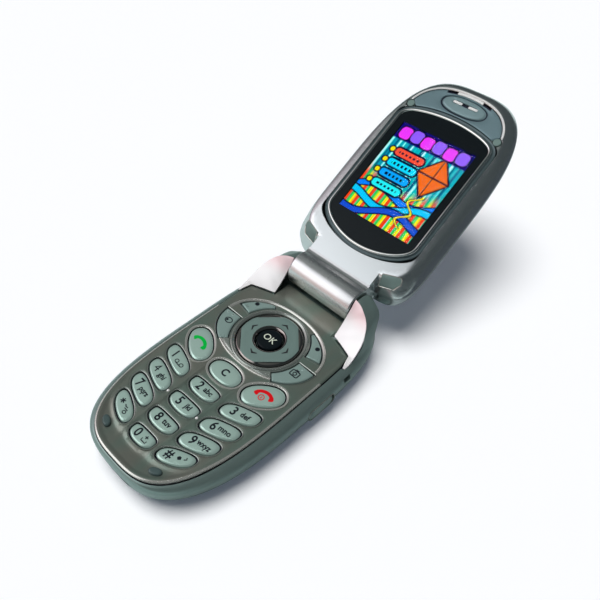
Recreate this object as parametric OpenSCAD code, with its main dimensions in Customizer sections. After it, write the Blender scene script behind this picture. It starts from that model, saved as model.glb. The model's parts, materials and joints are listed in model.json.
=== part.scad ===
// A clamshell mobile phone, standing open on its back.
// Frame: the origin is the centre of the flat underside, +X is the right-hand side,
// +Y points to the hinge, +Z is up. The lid is drawn leaning back on its open stop.
// Sizes are millimetres.

/* [Base] */
// Greatest width of the base
base_w = 50; // [49:0.5:51]
// Distance from the origin to the bottom end
base_front = 43.3; // [43:0.1:44]
// Distance from the origin to the rear end, behind the hinge
base_rear = 44.3; // [44:0.1:44.6]
// Height of the key panel's top face
panel_z = 12.6; // [12.4:0.1:12.8]
// Thickness of the moulded walls
wall = 1.2; // [1:0.1:1.3]

/* [Keys] */
// How far a key moves when it is pressed
key_travel = 0.3; // [0.2:0.05:0.3]
// How far the crowned key tops stand above the panel
key_proud = 0.3; // [0.2:0.05:0.4]
// Gap all round a key in its window
key_gap = 0.28; // [0.2:0.02:0.34]
// Y of the centre of the navigation disc
nav_y = 13; // [12.8:0.1:13.2]
// Radius of the navigation disc
nav_r = 10.1; // [9.8:0.1:10.2]
// Radius of the button in the middle of the disc
ok_r = 4.3; // [4.1:0.1:4.5]

/* [Hinge] */
// Y of the hinge axis
hinge_y = 38.7; // [38.5:0.1:38.9]
// Height of the hinge axis
hinge_z = 16.9; // [16.8:0.1:17]
// Radius of the lid's hinge barrel
barrel_r = 5.7; // [5.6:0.05:5.75]
// Length of the lid's hinge barrel
barrel_len = 25; // [24.8:0.1:25.2]
// Radius of the two hinge pins
pin_r = 2; // [1.8:0.1:2.1]
// How far the open lid stands above the horizontal
lid_lean = 29; // [29:0.5:34]

/* [Lid] */
// Greatest width of the lid
lid_w = 47; // [46:0.5:48]
// Distance from the hinge axis to the tip of the lid
lid_len = 80.9; // [80:0.3:81.2]
// Thickness of the lid
lid_t = 9; // [8.8:0.1:9.1]
// Distance from the hinge axis to the plane of the lid's inner face
lid_face = 2.9; // [2.8:0.05:3]
// Width of the display's lit area
lcd_w = 27.8; // [27:0.2:28.2]
// Height of the display's lit area
lcd_h = 34.8; // [34:0.2:35.2]

/* [Hidden] */
$fn = 48;
thin = 0.02;          // thickness of a slice that a hull joins
clear = 0.3;          // gap between pieces that move past each other
seat_gap = 0.15;      // gap round a piece that sits in a pocket
mid_y = 3;            // Y where the base is widest
outline_steps = 64;

// Heights inside the base
cover_t = 1.2;                       // battery cover
cell_z = cover_t + 0.2;
cell_h = 4.8;
bay_top = cell_z + cell_h + 0.2;
deck_z = bay_top + 0.9;              // floor under the main board
board_z = panel_z - 4.4;
board_t = 0.9;
dome_h = 0.3;
mat_z = panel_z - 2.75;
mat_t = 0.55;
panel_t = 1.4;
panel_under = panel_z - panel_t;
flange_t = 0.35;
flange_z = panel_under - 0.08 - flange_t;

// Places on the lid, from the hinge axis
lid_parting = -1.7;                  // height of the seam between lid frame and lid cover
lid_back = lid_face - lid_t;
lid_mid = 35;                        // where the lid's outline is widest
window_mid = 45;
window_half_w = 16.5;
window_top = 65;
window_bottom = 15.9;
bezel_flange = 2.3;                  // width of the bezel and the groove round it
lcd_mid = (85.7 + 49.2) / 2 * 0.95 - 23.1;
barrel_bore = 3;
bushing_len = 1.4;
knuckle_x = barrel_len / 2 + clear;  // inner face of each hinge knuckle

// Keys: name, x, y, half width, height above and below the centre line, the two
// roundness exponents, slope of the key and its turn
KEYS = [
    ["key_send",  -13.4, -2.45, 6.2, 3.75, 3.5, 2.3, 2.3, 0, -38],
    ["key_end",    13.4, -2.45, 6.2, 3.75, 3.5, 2.3, 2.3, 0, 38],
    ["key_clear",   0, -4.5, 5.5, 3.3, 3.2, 2.3, 2.3, 0, 0],
    ["key_1", -13.25, -10.85, 5.4, 2.5, 2.6, 2.8, 2.6, -0.32, 0],
    ["key_2",   0, -12.1, 5.05, 1.75, 2.75, 4.4, 2.5, 0, 0],
    ["key_3",  13.25, -10.85, 5.4, 2.5, 2.6, 2.8, 2.6, 0.32, 0],
    ["key_4", -12.85, -17.65, 5.3, 2.5, 2.6, 2.8, 2.6, -0.32, 0],
    ["key_5",   0, -19.15, 5.05, 1.75, 2.75, 4.4, 2.5, 0, 0],
    ["key_6",  12.85, -17.65, 5.3, 2.5, 2.6, 2.8, 2.6, 0.32, 0],
    ["key_7", -12.25, -24.25, 5.2, 2.5, 2.65, 2.8, 2.5, -0.34, 0],
    ["key_8",   0, -26.3, 4.9, 1.75, 2.7, 4.4, 2.5, 0, 0],
    ["key_9",  12.25, -24.25, 5.2, 2.5, 2.65, 2.8, 2.5, 0.34, 0],
    ["key_star", -11.15, -30.8, 4.7, 2.25, 2.7, 2.6, 2.3, -0.42, 0],
    ["key_0",   0, -32.95, 4.2, 1.7, 2.5, 4, 2.4, 0, 0],
    ["key_hash", 11.15, -30.8, 4.7, 2.25, 2.7, 2.6, 2.3, 0.42, 0]
];

// Keys round the navigation disc: name, first and last angle, outer half width and
// outer half height
RING_KEYS = [
    ["key_soft_right", 13, 52, 17.3, 11.8],
    ["key_soft_left", 128, 167, 17.3, 11.8],
    ["key_side_right", -42, -1, 18.3, 12.4],
    ["key_side_left", 181, 222, 18.3, 12.4]
];
ring_key_inner = 12.5;               // inner radius of those four keys

// ---- Shared outlines ----

function sgn(v) = v < 0 ? -1 : 1;

// One point of a rounded outline that has its own height and roundness above and
// below its centre line
function egg_point(t, w, up, down, n_up, n_down, slope) =
    let (c = cos(t), s = sin(t),
         n = s >= 0 ? n_up : n_down,
         x = w * sgn(c) * pow(abs(c), 2 / n),
         y = (s >= 0 ? up : down) * sgn(s) * pow(abs(s), 2 / n))
    [x, y + slope * x];

module egg(w, up, down, n_up, n_down, slope = 0, steps = outline_steps) {
    polygon([for (i = [0:steps - 1])
        egg_point(360 * i / steps, w, up, down, n_up, n_down, slope)]);
}

// Display window outline: straight sides, an arched top and a deeper arched bottom
module window_outline(grow) {
    w = window_half_w + grow;
    top_r = 50;
    bottom_r = 27 + grow * 3;
    corner = 3.4;
    steps = outline_steps / 2;
    polygon([for (side = [1, -1], i = [0:steps - 1])
        let (x = side * w * cos(180 * (i + 0.5) / steps),
             round_off = corner * (1 - pow(1 - pow(abs(x / w), 9), 1 / 4)))
        [x, side > 0
            ? window_top + grow - (top_r - sqrt(top_r * top_r - x * x)) - round_off
            : window_bottom - grow + bottom_r - sqrt(bottom_r * bottom_r - x * x)
                + round_off]]);
}

// Rounded bar, from x1,y1 to x2,y2
module bar(x1, y1, x2, y2, r) {
    length = norm([x2 - x1, y2 - y1]);
    turn = atan2(y2 - y1, x2 - x1);
    translate([x1, y1]) circle(r);
    translate([x2, y2]) circle(r);
    translate([x1, y1]) rotate(turn) translate([0, -r]) square([length, 2 * r]);
}

module rounded_rect(w, h, r) {
    square([w, h - 2 * r], center = true);
    square([w - 2 * r, h], center = true);
    for (sx = [-1, 1], sy = [-1, 1])
        translate([sx * (w / 2 - r), sy * (h / 2 - r)]) circle(r);
}

module both_sides() {
    children();
    mirror([1, 0, 0]) children();
}

// ---- Base: outer form ----

// Slice of the base at height z, side_in and end_in inside the widest outline
module base_slice(z, side_in, end_in, n_front = 3.2) {
    translate([0, mid_y, z]) linear_extrude(thin)
        egg(base_w / 2 - side_in, base_rear - mid_y - end_in,
            base_front + mid_y - end_in, 3.8, n_front);
}

module base_form() {
    hull() {
        base_slice(0, 6.5, 6.5, 2.6);
        base_slice(0.8, 4.2, 4, 2.6);
        base_slice(2.2, 2.1, 2.1, 2.7);
        base_slice(4, 1, 1, 2.8);
        base_slice(6, 0.3, 0.3, 2.9);
        base_slice(8.5, 0, 0, 3);
        base_slice(10.2, 0.4, 0.1);
        base_slice(11.2, 1.2, 0.2);
        base_slice(panel_z - 0.6 - thin, 2.7, 0.5);
    }
}

// Outline of the key panel, and of its pocket when grow is positive
module panel_outline(grow) {
    translate([0, mid_y])
        egg(base_w / 2 - 3.2 + grow, base_rear - mid_y, base_front + mid_y - 1.1 + grow,
            3.8, 3.1);
}

// Points of the silver cap's outer edge, from the ridge down to its pointed end
CAP_EDGE = [[12.8, 36.25, 22], [15, 35.7, 21.8], [17, 34.75, 21.2], [18.7, 33.9, 20.1],
            [20.1, 32.7, 18.8], [21.1, 31.2, 17.5], [21.95, 29.4, 16], [22.4, 27.3, 14.6],
            [22.65, 25.1, 13.3], [22.8, 22.8, 12.3], [22.7, 20.9, 11.7]];
// Corners where the cap meets the key panel
CAP_FOOT = [[12.8, 27.5, 12.6], [20.8, 24.9, 12.6], [21.8, 20.5, 12.2]];
edge_r = 0.35;

// One hinge knuckle with its cap, as one smooth form
module knuckle_form() {
    hull() {
        translate([knuckle_x, hinge_y, hinge_z]) rotate([0, 90, 0]) {
            cylinder(h = 0.8, r = barrel_r - 0.9);
            cylinder(h = 2.7, r = 3.9);
        }
        translate([16.9, hinge_y, hinge_z - 0.2]) sphere(r = 2.6, $fn = 32);
        for (p = concat(CAP_EDGE, CAP_FOOT))
            translate([max(p[0] - edge_r, knuckle_x + edge_r), p[1], p[2] - edge_r])
                sphere(r = edge_r, $fn = 8);
        translate([0, 0, 8.5]) linear_extrude(0.5) intersection() {
            translate([0, mid_y]) egg(base_w / 2 - 0.5, base_rear - mid_y - 0.4, 10, 3.8, 3);
            translate([knuckle_x, 24]) square(22);
        }
    }
}

// Plan of the silver cap
module cap_plan() {
    polygon(concat([for (p = CAP_EDGE) [p[0], p[1]]],
                   [[21.9, 20.2], [21.8, 20.8], [20.8, 24.9], [12.8, 27.5]]));
}

// Room for the barrel and for the lid's neck as it swings between the knuckles
module barrel_room() {
    span = 2 * knuckle_x;
    translate([-knuckle_x, hinge_y, hinge_z]) {
        rotate([0, 90, 0]) cylinder(h = span, r = barrel_r + clear);
        rotate([0, 90, 0]) intersection() {
            cylinder(h = span, r = -lid_back + clear);
            translate([-10, 0, 0]) cube([20, 12, span]);
        }
        rotate([lid_lean, 0, 0]) translate([0, 0, lid_back - clear]) cube([span, 14, 16]);
        translate([0, -4, 0]) cube([span, 12, 10]);
    }
}

// ---- Base: fixed pieces ----

module battery_opening(grow, z0, z1) {
    translate([0, 0.5, z0]) linear_extrude(z1 - z0)
        rounded_rect(33 + 2 * grow, 50 + 2 * grow, 4);
}

module latch_pocket(grow, h) {
    translate([0, latch_y + 0.8, -thin]) linear_extrude(h)
        rounded_rect(11 + 2 * grow, 5.4 + 2 * grow, 1);
}

latch_y = 28.6;
jack_y = 9;           // middle of the side cover
jack_z = 7;
jack_len = 9.4;
jack_h = 3.4;
jack_hinge_y = jack_y + jack_len / 2;
jack_pivot_x = base_w / 2 - 0.7;
volume_y = 9;
volume_len = 13;
volume_z = 6.2;
volume_pivot = 0.8;   // depth of the rocker's pivot pin
screw_spots = [[15, 30.2], [-15, 30.2], [10.5, -31], [-10.5, -31]];
screw_head_r = 1.4;

module lower_housing() {
    color([0.36, 0.42, 0.41]) difference() {
        union() {
            base_form();
            both_sides() knuckle_form();
        }
        // silver caps, key panel, barrel
        both_sides() translate([0, 0, panel_under - 0.3]) linear_extrude(14) cap_plan();
        translate([0, 0, panel_under - 0.1]) linear_extrude(14) intersection() {
            panel_outline(0.12);
            translate([-30, -60]) square([60, 60 + 27.6]);
        }
        translate([-knuckle_x, 27, panel_under - 0.1]) cube([2 * knuckle_x, 12, 10]);
        barrel_room();
        // inside
        battery_opening(seat_gap, -1, cover_t + 0.1);
        battery_opening(-0.8, 0, bay_top);
        hull() {
            translate([0, 0, deck_z]) linear_extrude(thin) cavity_outline(3.2);
            translate([0, 0, panel_under]) linear_extrude(thin) cavity_outline(4);
        }
        // hinge pins
        translate([-17, hinge_y, hinge_z]) rotate([0, 90, 0]) cylinder(h = 34, r = pin_r + 0.02);
        // side openings, connector slot, strap hole, latch, screws, microphone
        translate([base_w / 2 - 2.8, jack_y - jack_len / 2 - seat_gap,
                   jack_z - jack_h / 2 - seat_gap])
            cube([6, jack_len + 2 * seat_gap + 0.6, jack_h + 2 * seat_gap]);
        translate([base_w / 2 - 7, jack_y, jack_z]) rotate([0, 90, 0]) cylinder(h = 8, r = 1.3);
        translate([-base_w / 2 - 3, volume_y - volume_len / 2 - clear, volume_z - 1.7 - clear])
            cube([6, volume_len + 2 * clear, 3.4 + 2 * clear]);
        translate([-6.5, -base_front - 4.5, 5.9]) cube([13, 10.3, 2.6]);
        translate([22, 19, 8.2]) cube([6, 2.8, 1.9]);
        latch_pocket(seat_gap, 1.5);
        for (p = screw_spots) translate([p[0], p[1], -1]) cylinder(h = 3, r = screw_head_r + 0.1);
        for (p = screw_spots) translate([p[0], p[1], 1]) cylinder(h = 6, r = 0.8);
        translate([0, -base_front - 1, 10.2]) rotate([-90, 0, 0]) cylinder(h = 5, r = 0.5);
    }
}

// Plan of the space under the key panel
module cavity_outline(inset) {
    intersection() {
        translate([0, mid_y]) egg(base_w / 2 - inset, 30, base_front + mid_y - inset, 6, 2.9);
        translate([-30, -60]) square([60, 60 + 31.5]);
    }
}

module front_panel() {
    color([0.37, 0.36, 0.33]) difference() {
        intersection() {
            hull() {
                translate([0, 0, panel_under]) linear_extrude(panel_t - 0.4) panel_outline(0);
                translate([0, 0, panel_z - 0.15]) linear_extrude(thin) panel_outline(-0.4);
                translate([0, 0, panel_z - thin]) linear_extrude(thin) panel_outline(-0.9);
            }
            union() {
                translate([-30, -60, 0]) cube([60, 60 + 27.45, 30]);
                translate([-knuckle_x + 0.1, 0, 0]) cube([2 * knuckle_x - 0.2, hinge_y, 30]);
            }
        }
        translate([0, 0, panel_under - 1]) linear_extrude(4) both_sides() panel_cap_corner();
        barrel_room();
        for (k = KEYS) key_place(k) translate([0, 0, panel_under - 1])
            linear_extrude(4) key_plan(k, key_gap);
        for (k = RING_KEYS) translate([0, nav_y, panel_under - 1])
            linear_extrude(4) ring_key_plan(k, key_gap);
        translate([0, nav_y, panel_under - 1]) cylinder(h = 4, r = nav_r + 0.4);
        translate([0, 0, panel_z - 0.35]) linear_extrude(1) ring_plan(0.05);
        both_sides() translate([0, 0, panel_z - 0.4]) linear_extrude(1) bumper_plan(0.05);
    }
}

// Corner of the key panel that the silver cap covers
module panel_cap_corner() {
    polygon([[12.7, 27.4], [20.75, 24.8], [21.7, 20.4], [21.7, 19.2], [26, 19.2], [26, 46],
             [12.7, 46]]);
}

module hinge_caps() {
    color([0.82, 0.82, 0.83]) both_sides() difference() {
        intersection() {
            knuckle_form();
            translate([0, 0, panel_under - 0.15]) linear_extrude(14) difference() {
                cap_plan();
                translate([0, 60]) square([60, 0.1]);
            }
        }
        translate([0, hinge_y, hinge_z]) rotate([0, 90, 0]) cylinder(h = 17, r = pin_r + 0.1);
        closed_lid_room();
    }
}

closed_clear = 0.45;   // the pads stand 0.2 proud of the lid; the rest is air

// Seat in the caps for the lid's lower end and its pads when the phone is closed
module closed_lid_room() {
    translate([0, hinge_y + closed_clear, hinge_z - closed_clear])
        rotate([180, 0, 0]) scale([1.02, 1, 1]) hull() {
            lid_form_front();
            lid_form_back();
        }
}

// Shiny oval rim round the navigation keys
module ring_plan(grow) {
    translate([0, nav_y]) difference() {
        egg(18.8 + grow, 13.1 + grow, 12.6 + grow, 2.2, 2.1);
        egg(17.7 - grow, 12.1 - grow, 11.6 - grow, 2.2, 2.1);
        polygon([[8.6, -7.4], [12, -14], [24, -14], [24, 0.9], [8.6, 0.9]]);
        polygon([[-8.6, -7.4], [-12, -14], [-24, -14], [-24, 0.9], [-8.6, 0.9]]);
    }
}

module key_ring() {
    color([0.9, 0.9, 0.9]) translate([0, 0, panel_z - 0.35]) linear_extrude(0.7) ring_plan(0);
}

module battery_cover() {
    color([0.34, 0.39, 0.38]) battery_opening(0, 0, cover_t);
}

module battery_cell() {
    color([0.15, 0.15, 0.17]) translate([0, 0, cell_z]) linear_extrude(cell_h)
        rounded_rect(30.6, 46.4, 3.9);
}

module battery_contacts() {
    color([0.85, 0.7, 0.3]) for (x = [-3, 0, 3])
        translate([x - 0.6, 23.5, 2.2]) cube([1.2, 1, 2.6]);
}

module main_board() {
    color([0.1, 0.35, 0.2]) translate([0, 0, board_z]) linear_extrude(board_t) difference() {
        intersection() {
            cavity_outline(5.4);
            translate([-30, -60]) square([60, 60 + 26]);
        }
        translate([15.2, jack_y - 5.5]) square([10, 11]);
    }
}

module board_shields() {
    shield_h = board_z - deck_z - 0.1;
    color([0.75, 0.75, 0.76]) translate([0, 0, deck_z + 0.05]) linear_extrude(shield_h) {
        translate([0, -20]) rounded_rect(28, 22, 1);
        translate([0, 6]) rounded_rect(26, 20, 1);
    }
}

module dome_sheet() {
    color([0.8, 0.8, 0.82]) translate([0, 0, board_z + board_t]) {
        for (k = KEYS) translate([k[1], k[2], 0]) cylinder(h = dome_h, r1 = 2, r2 = 1, $fn = 24);
        for (a = [0:90:270]) translate([0, nav_y, 0]) rotate(a) translate([7.6, 0, 0])
            cylinder(h = dome_h, r1 = 2, r2 = 1, $fn = 24);
        translate([0, nav_y, 0]) cylinder(h = dome_h, r1 = 2, r2 = 1, $fn = 24);
        for (k = RING_KEYS) translate([0, nav_y, 0]) rotate((k[1] + k[2]) / 2)
            translate([14.4, 0, 0]) cylinder(h = dome_h, r1 = 1.2, r2 = 0.7, $fn = 24);
    }
}

module keypad_mat() {
    color([0.2, 0.2, 0.22]) translate([0, 0, mat_z]) linear_extrude(mat_t) intersection() {
        cavity_outline(5.6);
        translate([-30, -60]) square([60, 60 + 27]);
    }
}

// Oval rubber foot that the closed lid rests on
module bumper_plan(grow) {
    translate([10.6, -37]) rotate(28) egg(1.9 + grow, 1.1 + grow, 1.1 + grow, 2.2, 2.2, 0, 32);
}

module base_bumpers() {
    color([0.45, 0.52, 0.5]) both_sides() translate([0, 0, panel_z - 0.4])
        linear_extrude(0.85) bumper_plan(0);
}

module base_screws() {
    color([0.55, 0.55, 0.57]) for (p = screw_spots) translate([p[0], p[1], 0]) difference() {
        union() {
            translate([0, 0, 0.8]) cylinder(h = 1.1, r = screw_head_r);
            translate([0, 0, 1.9]) cylinder(h = 4.6, r = 0.78);
        }
        for (a = [0, 90]) rotate(a) translate([-0.9, -0.18, 0.7]) cube([1.8, 0.36, 0.7]);
    }
}

module microphone() {
    color([0.7, 0.7, 0.7]) translate([0, -36.9, board_z + board_t]) cylinder(h = 0.65, r = 1.6);
}

module vibration_motor() {
    color([0.7, 0.7, 0.72]) translate([-12, 29.2, deck_z + 1.9]) rotate([0, 90, 0]) {
        cylinder(h = 8, r = 1.6);
        translate([0, 0, 8.6]) intersection() {
            cylinder(h = 2.2, r = 1.5);
            translate([-2, 0, 0]) cube([4, 4, 3]);
        }
        translate([0, 0, 7]) cylinder(h = 3.4, r = 0.3);
    }
}

module system_connector() {
    color([0.2, 0.2, 0.2]) difference() {
        translate([0, -base_front + 3.3, 7.2]) cube([12.4, 4.2, 2.2], center = true);
        translate([0, -base_front + 1.4, 7.2]) cube([10.8, 2, 1], center = true);
    }
}

module headset_jack() {
    color([0.15, 0.15, 0.15]) difference() {
        translate([base_w / 2 - 9.4, jack_y - 2.4, jack_z + 0.5]) cube([2, 4.8, 1.6]);
        translate([base_w / 2 - 10, jack_y, jack_z]) rotate([0, 90, 0]) cylinder(h = 4, r = 1.25);
    }
}

module hinge_pins() {
    color([0.7, 0.7, 0.72]) both_sides() translate([barrel_len / 2 - bushing_len, hinge_y, hinge_z])
        rotate([0, 90, 0]) cylinder(h = 17 - barrel_len / 2 + bushing_len, r = pin_r);
}

module antenna() {
    color([0.8, 0.72, 0.5]) translate([1, 27.6, deck_z + 0.1]) cube([13, 3.2, 2.6]);
}

// ---- Base: keys ----

module key_place(k) {
    translate([k[1], k[2], 0]) rotate(k[9]) children();
}

module key_plan(k, grow) {
    egg(k[3] + grow, k[4] + grow, k[5] + grow, k[6], k[7], k[8], 40);
}

// Body of a key: flange under the panel, straight wall, crowned top
module key_body(plan_in = 0.88) {
    translate([0, 0, flange_z]) linear_extrude(panel_z + key_proud - 0.45 - flange_z) children(0);
    translate([0, 0, panel_z + key_proud - 0.45]) linear_extrude(0.45, scale = plan_in) children(0);
    translate([0, 0, flange_z]) linear_extrude(flange_t) children(1);
}

module pad_key(k) {
    color([0.66, 0.71, 0.69]) key_place(k) key_body() {
        key_plan(k, 0);
        key_plan(k, key_gap + 0.3);
    }
}

// Plan of a key between the navigation disc and the oval rim
module ring_key_plan(k, grow) {
    steps = 12;
    a0 = k[1] - grow * 3.6;
    a1 = k[2] + grow * 3.6;
    polygon(concat(
        [for (i = [0:steps]) let (a = a0 + (a1 - a0) * i / steps)
            (ring_key_inner - grow) * [cos(a), sin(a)]],
        [for (i = [0:steps]) let (a = a1 - (a1 - a0) * i / steps,
            r = 1 / norm([cos(a) / (k[3] + grow), sin(a) / (k[4] + grow)]))
            r * [cos(a), sin(a)]]));
}

module ring_key(k) {
    mid_a = (k[1] + k[2]) / 2;
    mid = 14.6 * [cos(mid_a), sin(mid_a)];
    color([0.6, 0.66, 0.64]) translate([mid[0], nav_y + mid[1], 0]) key_body(0.93) {
        translate(-mid) ring_key_plan(k, 0);
        translate(-mid) ring_key_plan(k, key_gap + 0.25);
    }
}

nav_pivot_z = panel_z - 1.4;

module nav_gimbal() {
    color([0.6, 0.6, 0.62]) translate([0, nav_y, nav_pivot_z]) {
        difference() {
            translate([0, 0, -0.35]) cylinder(h = 0.3, r = 8);
            translate([0, 0, -1]) cylinder(h = 2, r = ok_r + 0.9);
        }
        for (a = [0, 90], x = [-6.6, 6.6]) rotate(a) translate([x, 0, -0.3]) rotate([90, 0, 90])
            cylinder(h = 1.6, r = 0.3, center = true);
    }
}

module nav_disc() {
    color([0.42, 0.5, 0.49]) translate([0, nav_y, 0]) difference() {
        union() {
            translate([0, 0, nav_pivot_z + 0.3]) cylinder(h = 0.95, r = nav_r);
            translate([0, 0, nav_pivot_z + 1.25]) cylinder(h = 0.4, r1 = nav_r, r2 = nav_r - 0.9);
        }
        cylinder(h = 30, r = ok_r + 0.3);
        translate([0, 0, panel_z + 0.15]) cylinder(h = 2, r1 = ok_r + 0.3, r2 = ok_r + 2);
    }
}

module key_ok() {
    color([0.05, 0.05, 0.06]) translate([0, nav_y, 0]) {
        translate([0, 0, flange_z]) cylinder(h = panel_z + 0.05 - flange_z, r = ok_r);
        translate([0, 0, panel_z + 0.05]) cylinder(h = 0.2, r1 = ok_r, r2 = ok_r - 0.7);
    }
}

// Rocker on the left side
module volume_key() {
    side_x = -base_w / 2;
    color([0.62, 0.66, 0.65]) translate([side_x, volume_y, volume_z]) {
        translate([-0.55, 0, 0]) rotate([0, 90, 0]) linear_extrude(1.6) rounded_rect(3.2, volume_len, 1.5);
        translate([1, -4, -1]) cube([0.9, 8, 2]);
        translate([volume_pivot, 0, -1.85]) cylinder(h = 3.7, r = 0.5);
    }
}

module battery_latch() {
    color([0.3, 0.34, 0.34]) difference() {
        translate([0, latch_y, 0.2]) linear_extrude(1) rounded_rect(10.6, 3.4, 0.8);
        for (i = [-1:1]) translate([-4, latch_y + i - 0.15, 0]) cube([8, 0.3, 0.45]);
    }
}

// Rubber flap over the headset socket, on the right side
module jack_cover() {
    cover_x = base_w / 2 - 1.6;
    color([0.3, 0.33, 0.33]) {
        intersection() {
            translate([cover_x, jack_y, jack_z]) rotate([0, 90, 0]) linear_extrude(3)
                rounded_rect(jack_h, jack_len, 1.2);
            base_form();
        }
        translate([cover_x - 0.8, jack_y, jack_z]) rotate([0, 90, 0]) cylinder(h = 0.9, r = 0.9);
        translate([jack_pivot_x, jack_hinge_y - 0.2, jack_z - 1.2]) cylinder(h = 2.4, r = 0.4);
    }
}

// ---- Lid: outer form, drawn flat with the hinge axis along X through the origin ----

module place_lid() {
    translate([0, hinge_y, hinge_z]) rotate([lid_lean, 0, 0]) children();
}

// Slice of the lid at height w: half width, tip and the end towards the hinge
module lid_slice(w, half_w, tip, low, n_up = 3.2) {
    translate([0, lid_mid, w]) linear_extrude(thin)
        egg(half_w, tip - lid_mid, lid_mid - low, n_up, 7);
}

module lid_form_front() {
    hull() {
        lid_slice(lid_parting, lid_w / 2, lid_len, 6.6);
        lid_slice(0, lid_w / 2 - 0.4, lid_len - 0.8, 8.4);
        lid_slice(1.7, lid_w / 2 - 1.2, lid_len - 2.1, 9.9);
        lid_slice(lid_face - 0.3, lid_w / 2 - 1.9, lid_len - 3.3, 10.6);
        lid_slice(lid_face - thin, lid_w / 2 - 2.4, lid_len - 3.9, 11.1);
    }
}

module lid_form_back() {
    hull() {
        lid_slice(lid_parting - 0.12, lid_w / 2, lid_len, 6.7);
        lid_slice(lid_parting - 1.4, lid_w / 2 - 0.15, lid_len - 0.2, 6);
        lid_slice(lid_back + 1.5, lid_w / 2 - 1, lid_len - 1.2, 5.2);
        lid_slice(lid_back + 0.6, lid_w / 2 - 2.8, lid_len - 3.2, 5.8);
        lid_slice(lid_back, lid_w / 2 - 6, lid_len - 7, 8.6);
    }
}

// Room that the lid leaves for the hinge knuckles
module knuckle_room() {
    both_sides() translate([knuckle_x - 0.5, 0, 0]) rotate([0, 90, 0])
        cylinder(h = 14, r = barrel_r + 0.65);
}

neck_half = barrel_len / 2 - 0.05;

module lcd_room(grow, z0, z1) {
    translate([0, lcd_mid, z0]) linear_extrude(z1 - z0)
        rounded_rect(lcd_w + 4.4 + grow, lcd_h + 7 + grow, 1);
}

module lid_frame() {
    color([0.68, 0.68, 0.68]) place_lid() difference() {
        union() {
            difference() {
                lid_form_front();
                knuckle_room();
                hull() {
                    translate([0, lid_mid, lid_parting - 1]) linear_extrude(thin)
                        egg(lid_w / 2 - wall - 0.4, lid_len - lid_mid - wall - 0.6, lid_mid - 15, 3, 4);
                    translate([0, lid_mid, lid_face - 1.4]) linear_extrude(thin)
                        egg(lid_w / 2 - wall - 2.2, lid_len - lid_mid - wall - 3.4, lid_mid - 16, 3, 4);
                }
            }
            translate([-neck_half, 0, lid_parting]) cube([2 * neck_half, 14.4, lid_face - lid_parting]);
            both_sides() translate([screw_x, screw_u, lid_parting]) cylinder(h = 4, r = boss_r);
            translate([-barrel_len / 2, 0, 0]) rotate([0, 90, 0]) cylinder(h = barrel_len, r = barrel_r);
        }
        // barrel bore, with the end walls that turn on the pins
        translate([-barrel_len / 2 + bushing_len, 0, 0]) rotate([0, 90, 0])
            cylinder(h = barrel_len - 2 * bushing_len, r = barrel_bore);
        translate([-barrel_len / 2 - 1, 0, 0]) rotate([0, 90, 0])
            cylinder(h = barrel_len + 2, r = pin_r + 0.05);
        // way for the flexible cable from the barrel into the lid
        translate([-5, 0, -0.6]) cube([10, 17, 1.2]);
        // window and bezel seat, earpiece plate, screw covers, bumpers
        translate([0, 0, lid_face - 0.9]) linear_extrude(3) window_outline(bezel_flange);
        lcd_room(0.4, -3, lid_face + 1);
        translate([0, 0, lid_face - 0.7]) linear_extrude(3) plate_plan(0.1);
        translate([0, 69.7, -3]) linear_extrude(8) rounded_rect(12, 5, 2);
        both_sides() translate([screw_x, screw_u, lid_face - 1]) cylinder(h = 3, r = screw_cover_r + 0.05);
        both_sides() translate([screw_x, screw_u, lid_face - 1.85]) cylinder(h = 3, r = screw_head_r);
        both_sides() translate([screw_x, screw_u, lid_parting - 1]) cylinder(h = 5, r = 0.85);
        both_sides() difference() {
            lid_bumper_block(0.06);
            translate([0, 0.55, -0.6]) lid_form_front();
        }
    }
}

screw_x = 16.4;
screw_u = 65.4;
screw_cover_r = 1.5;
boss_r = 2.1;          // posts that the lid screws join

module lid_cover() {
    color([0.62, 0.63, 0.64]) place_lid() difference() {
        union() {
            lid_form_back();
            translate([-neck_half, 3, lid_back]) cube([2 * neck_half, 12, lid_parting - 0.12 - lid_back]);
        }
        knuckle_room();
        translate([-20, 0, 0]) rotate([0, 90, 0]) cylinder(h = 40, r = barrel_r + 0.12);
        hull() {
            translate([0, lid_mid, lid_parting]) linear_extrude(thin)
                egg(lid_w / 2 - wall - 0.4, lid_len - lid_mid - wall - 0.6, lid_mid - 12, 3, 4);
            translate([0, lid_mid, lid_back + 1.2]) linear_extrude(thin)
                egg(lid_w / 2 - wall - 4, lid_len - lid_mid - wall - 4.6, lid_mid - 14, 3, 4);
        }
        translate([0, outer_u, lid_back - 1]) linear_extrude(3) outer_window_plan(0.08);
    }
    color([0.62, 0.63, 0.64]) place_lid() both_sides() translate([screw_x, screw_u, 0]) difference() {
        translate([0, 0, lid_back + 0.9]) cylinder(h = lid_parting - 0.12 - lid_back - 0.9, r = boss_r);
        translate([0, 0, lid_parting - 1.3]) cylinder(h = 3, r = 0.85);
    }
}

// ---- Lid: pieces on and in it ----

module window_lens() {
    color([0.05, 0.06, 0.07]) place_lid() translate([0, 0, lid_face - 0.6])
        linear_extrude(1) window_outline(-0.05);
}

module window_bezel() {
    color([0.85, 0.85, 0.85]) place_lid() translate([0, 0, lid_face - 0.85]) {
        difference() {
            linear_extrude(1.65) window_outline(1.1);
            translate([0, 0, -1]) linear_extrude(4) window_outline(0);
        }
        difference() {
            linear_extrude(0.6) window_outline(bezel_flange - 0.05);
            translate([0, 0, -1]) linear_extrude(4) window_outline(1);
            both_sides() translate([screw_x, screw_u, -1]) cylinder(h = 4, r = screw_cover_r + 0.08);
        }
    }
}

module lcd_module() {
    color([0.3, 0.6, 0.85]) place_lid() lcd_room(0, -1.4, lid_face - 0.95);
}

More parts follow.
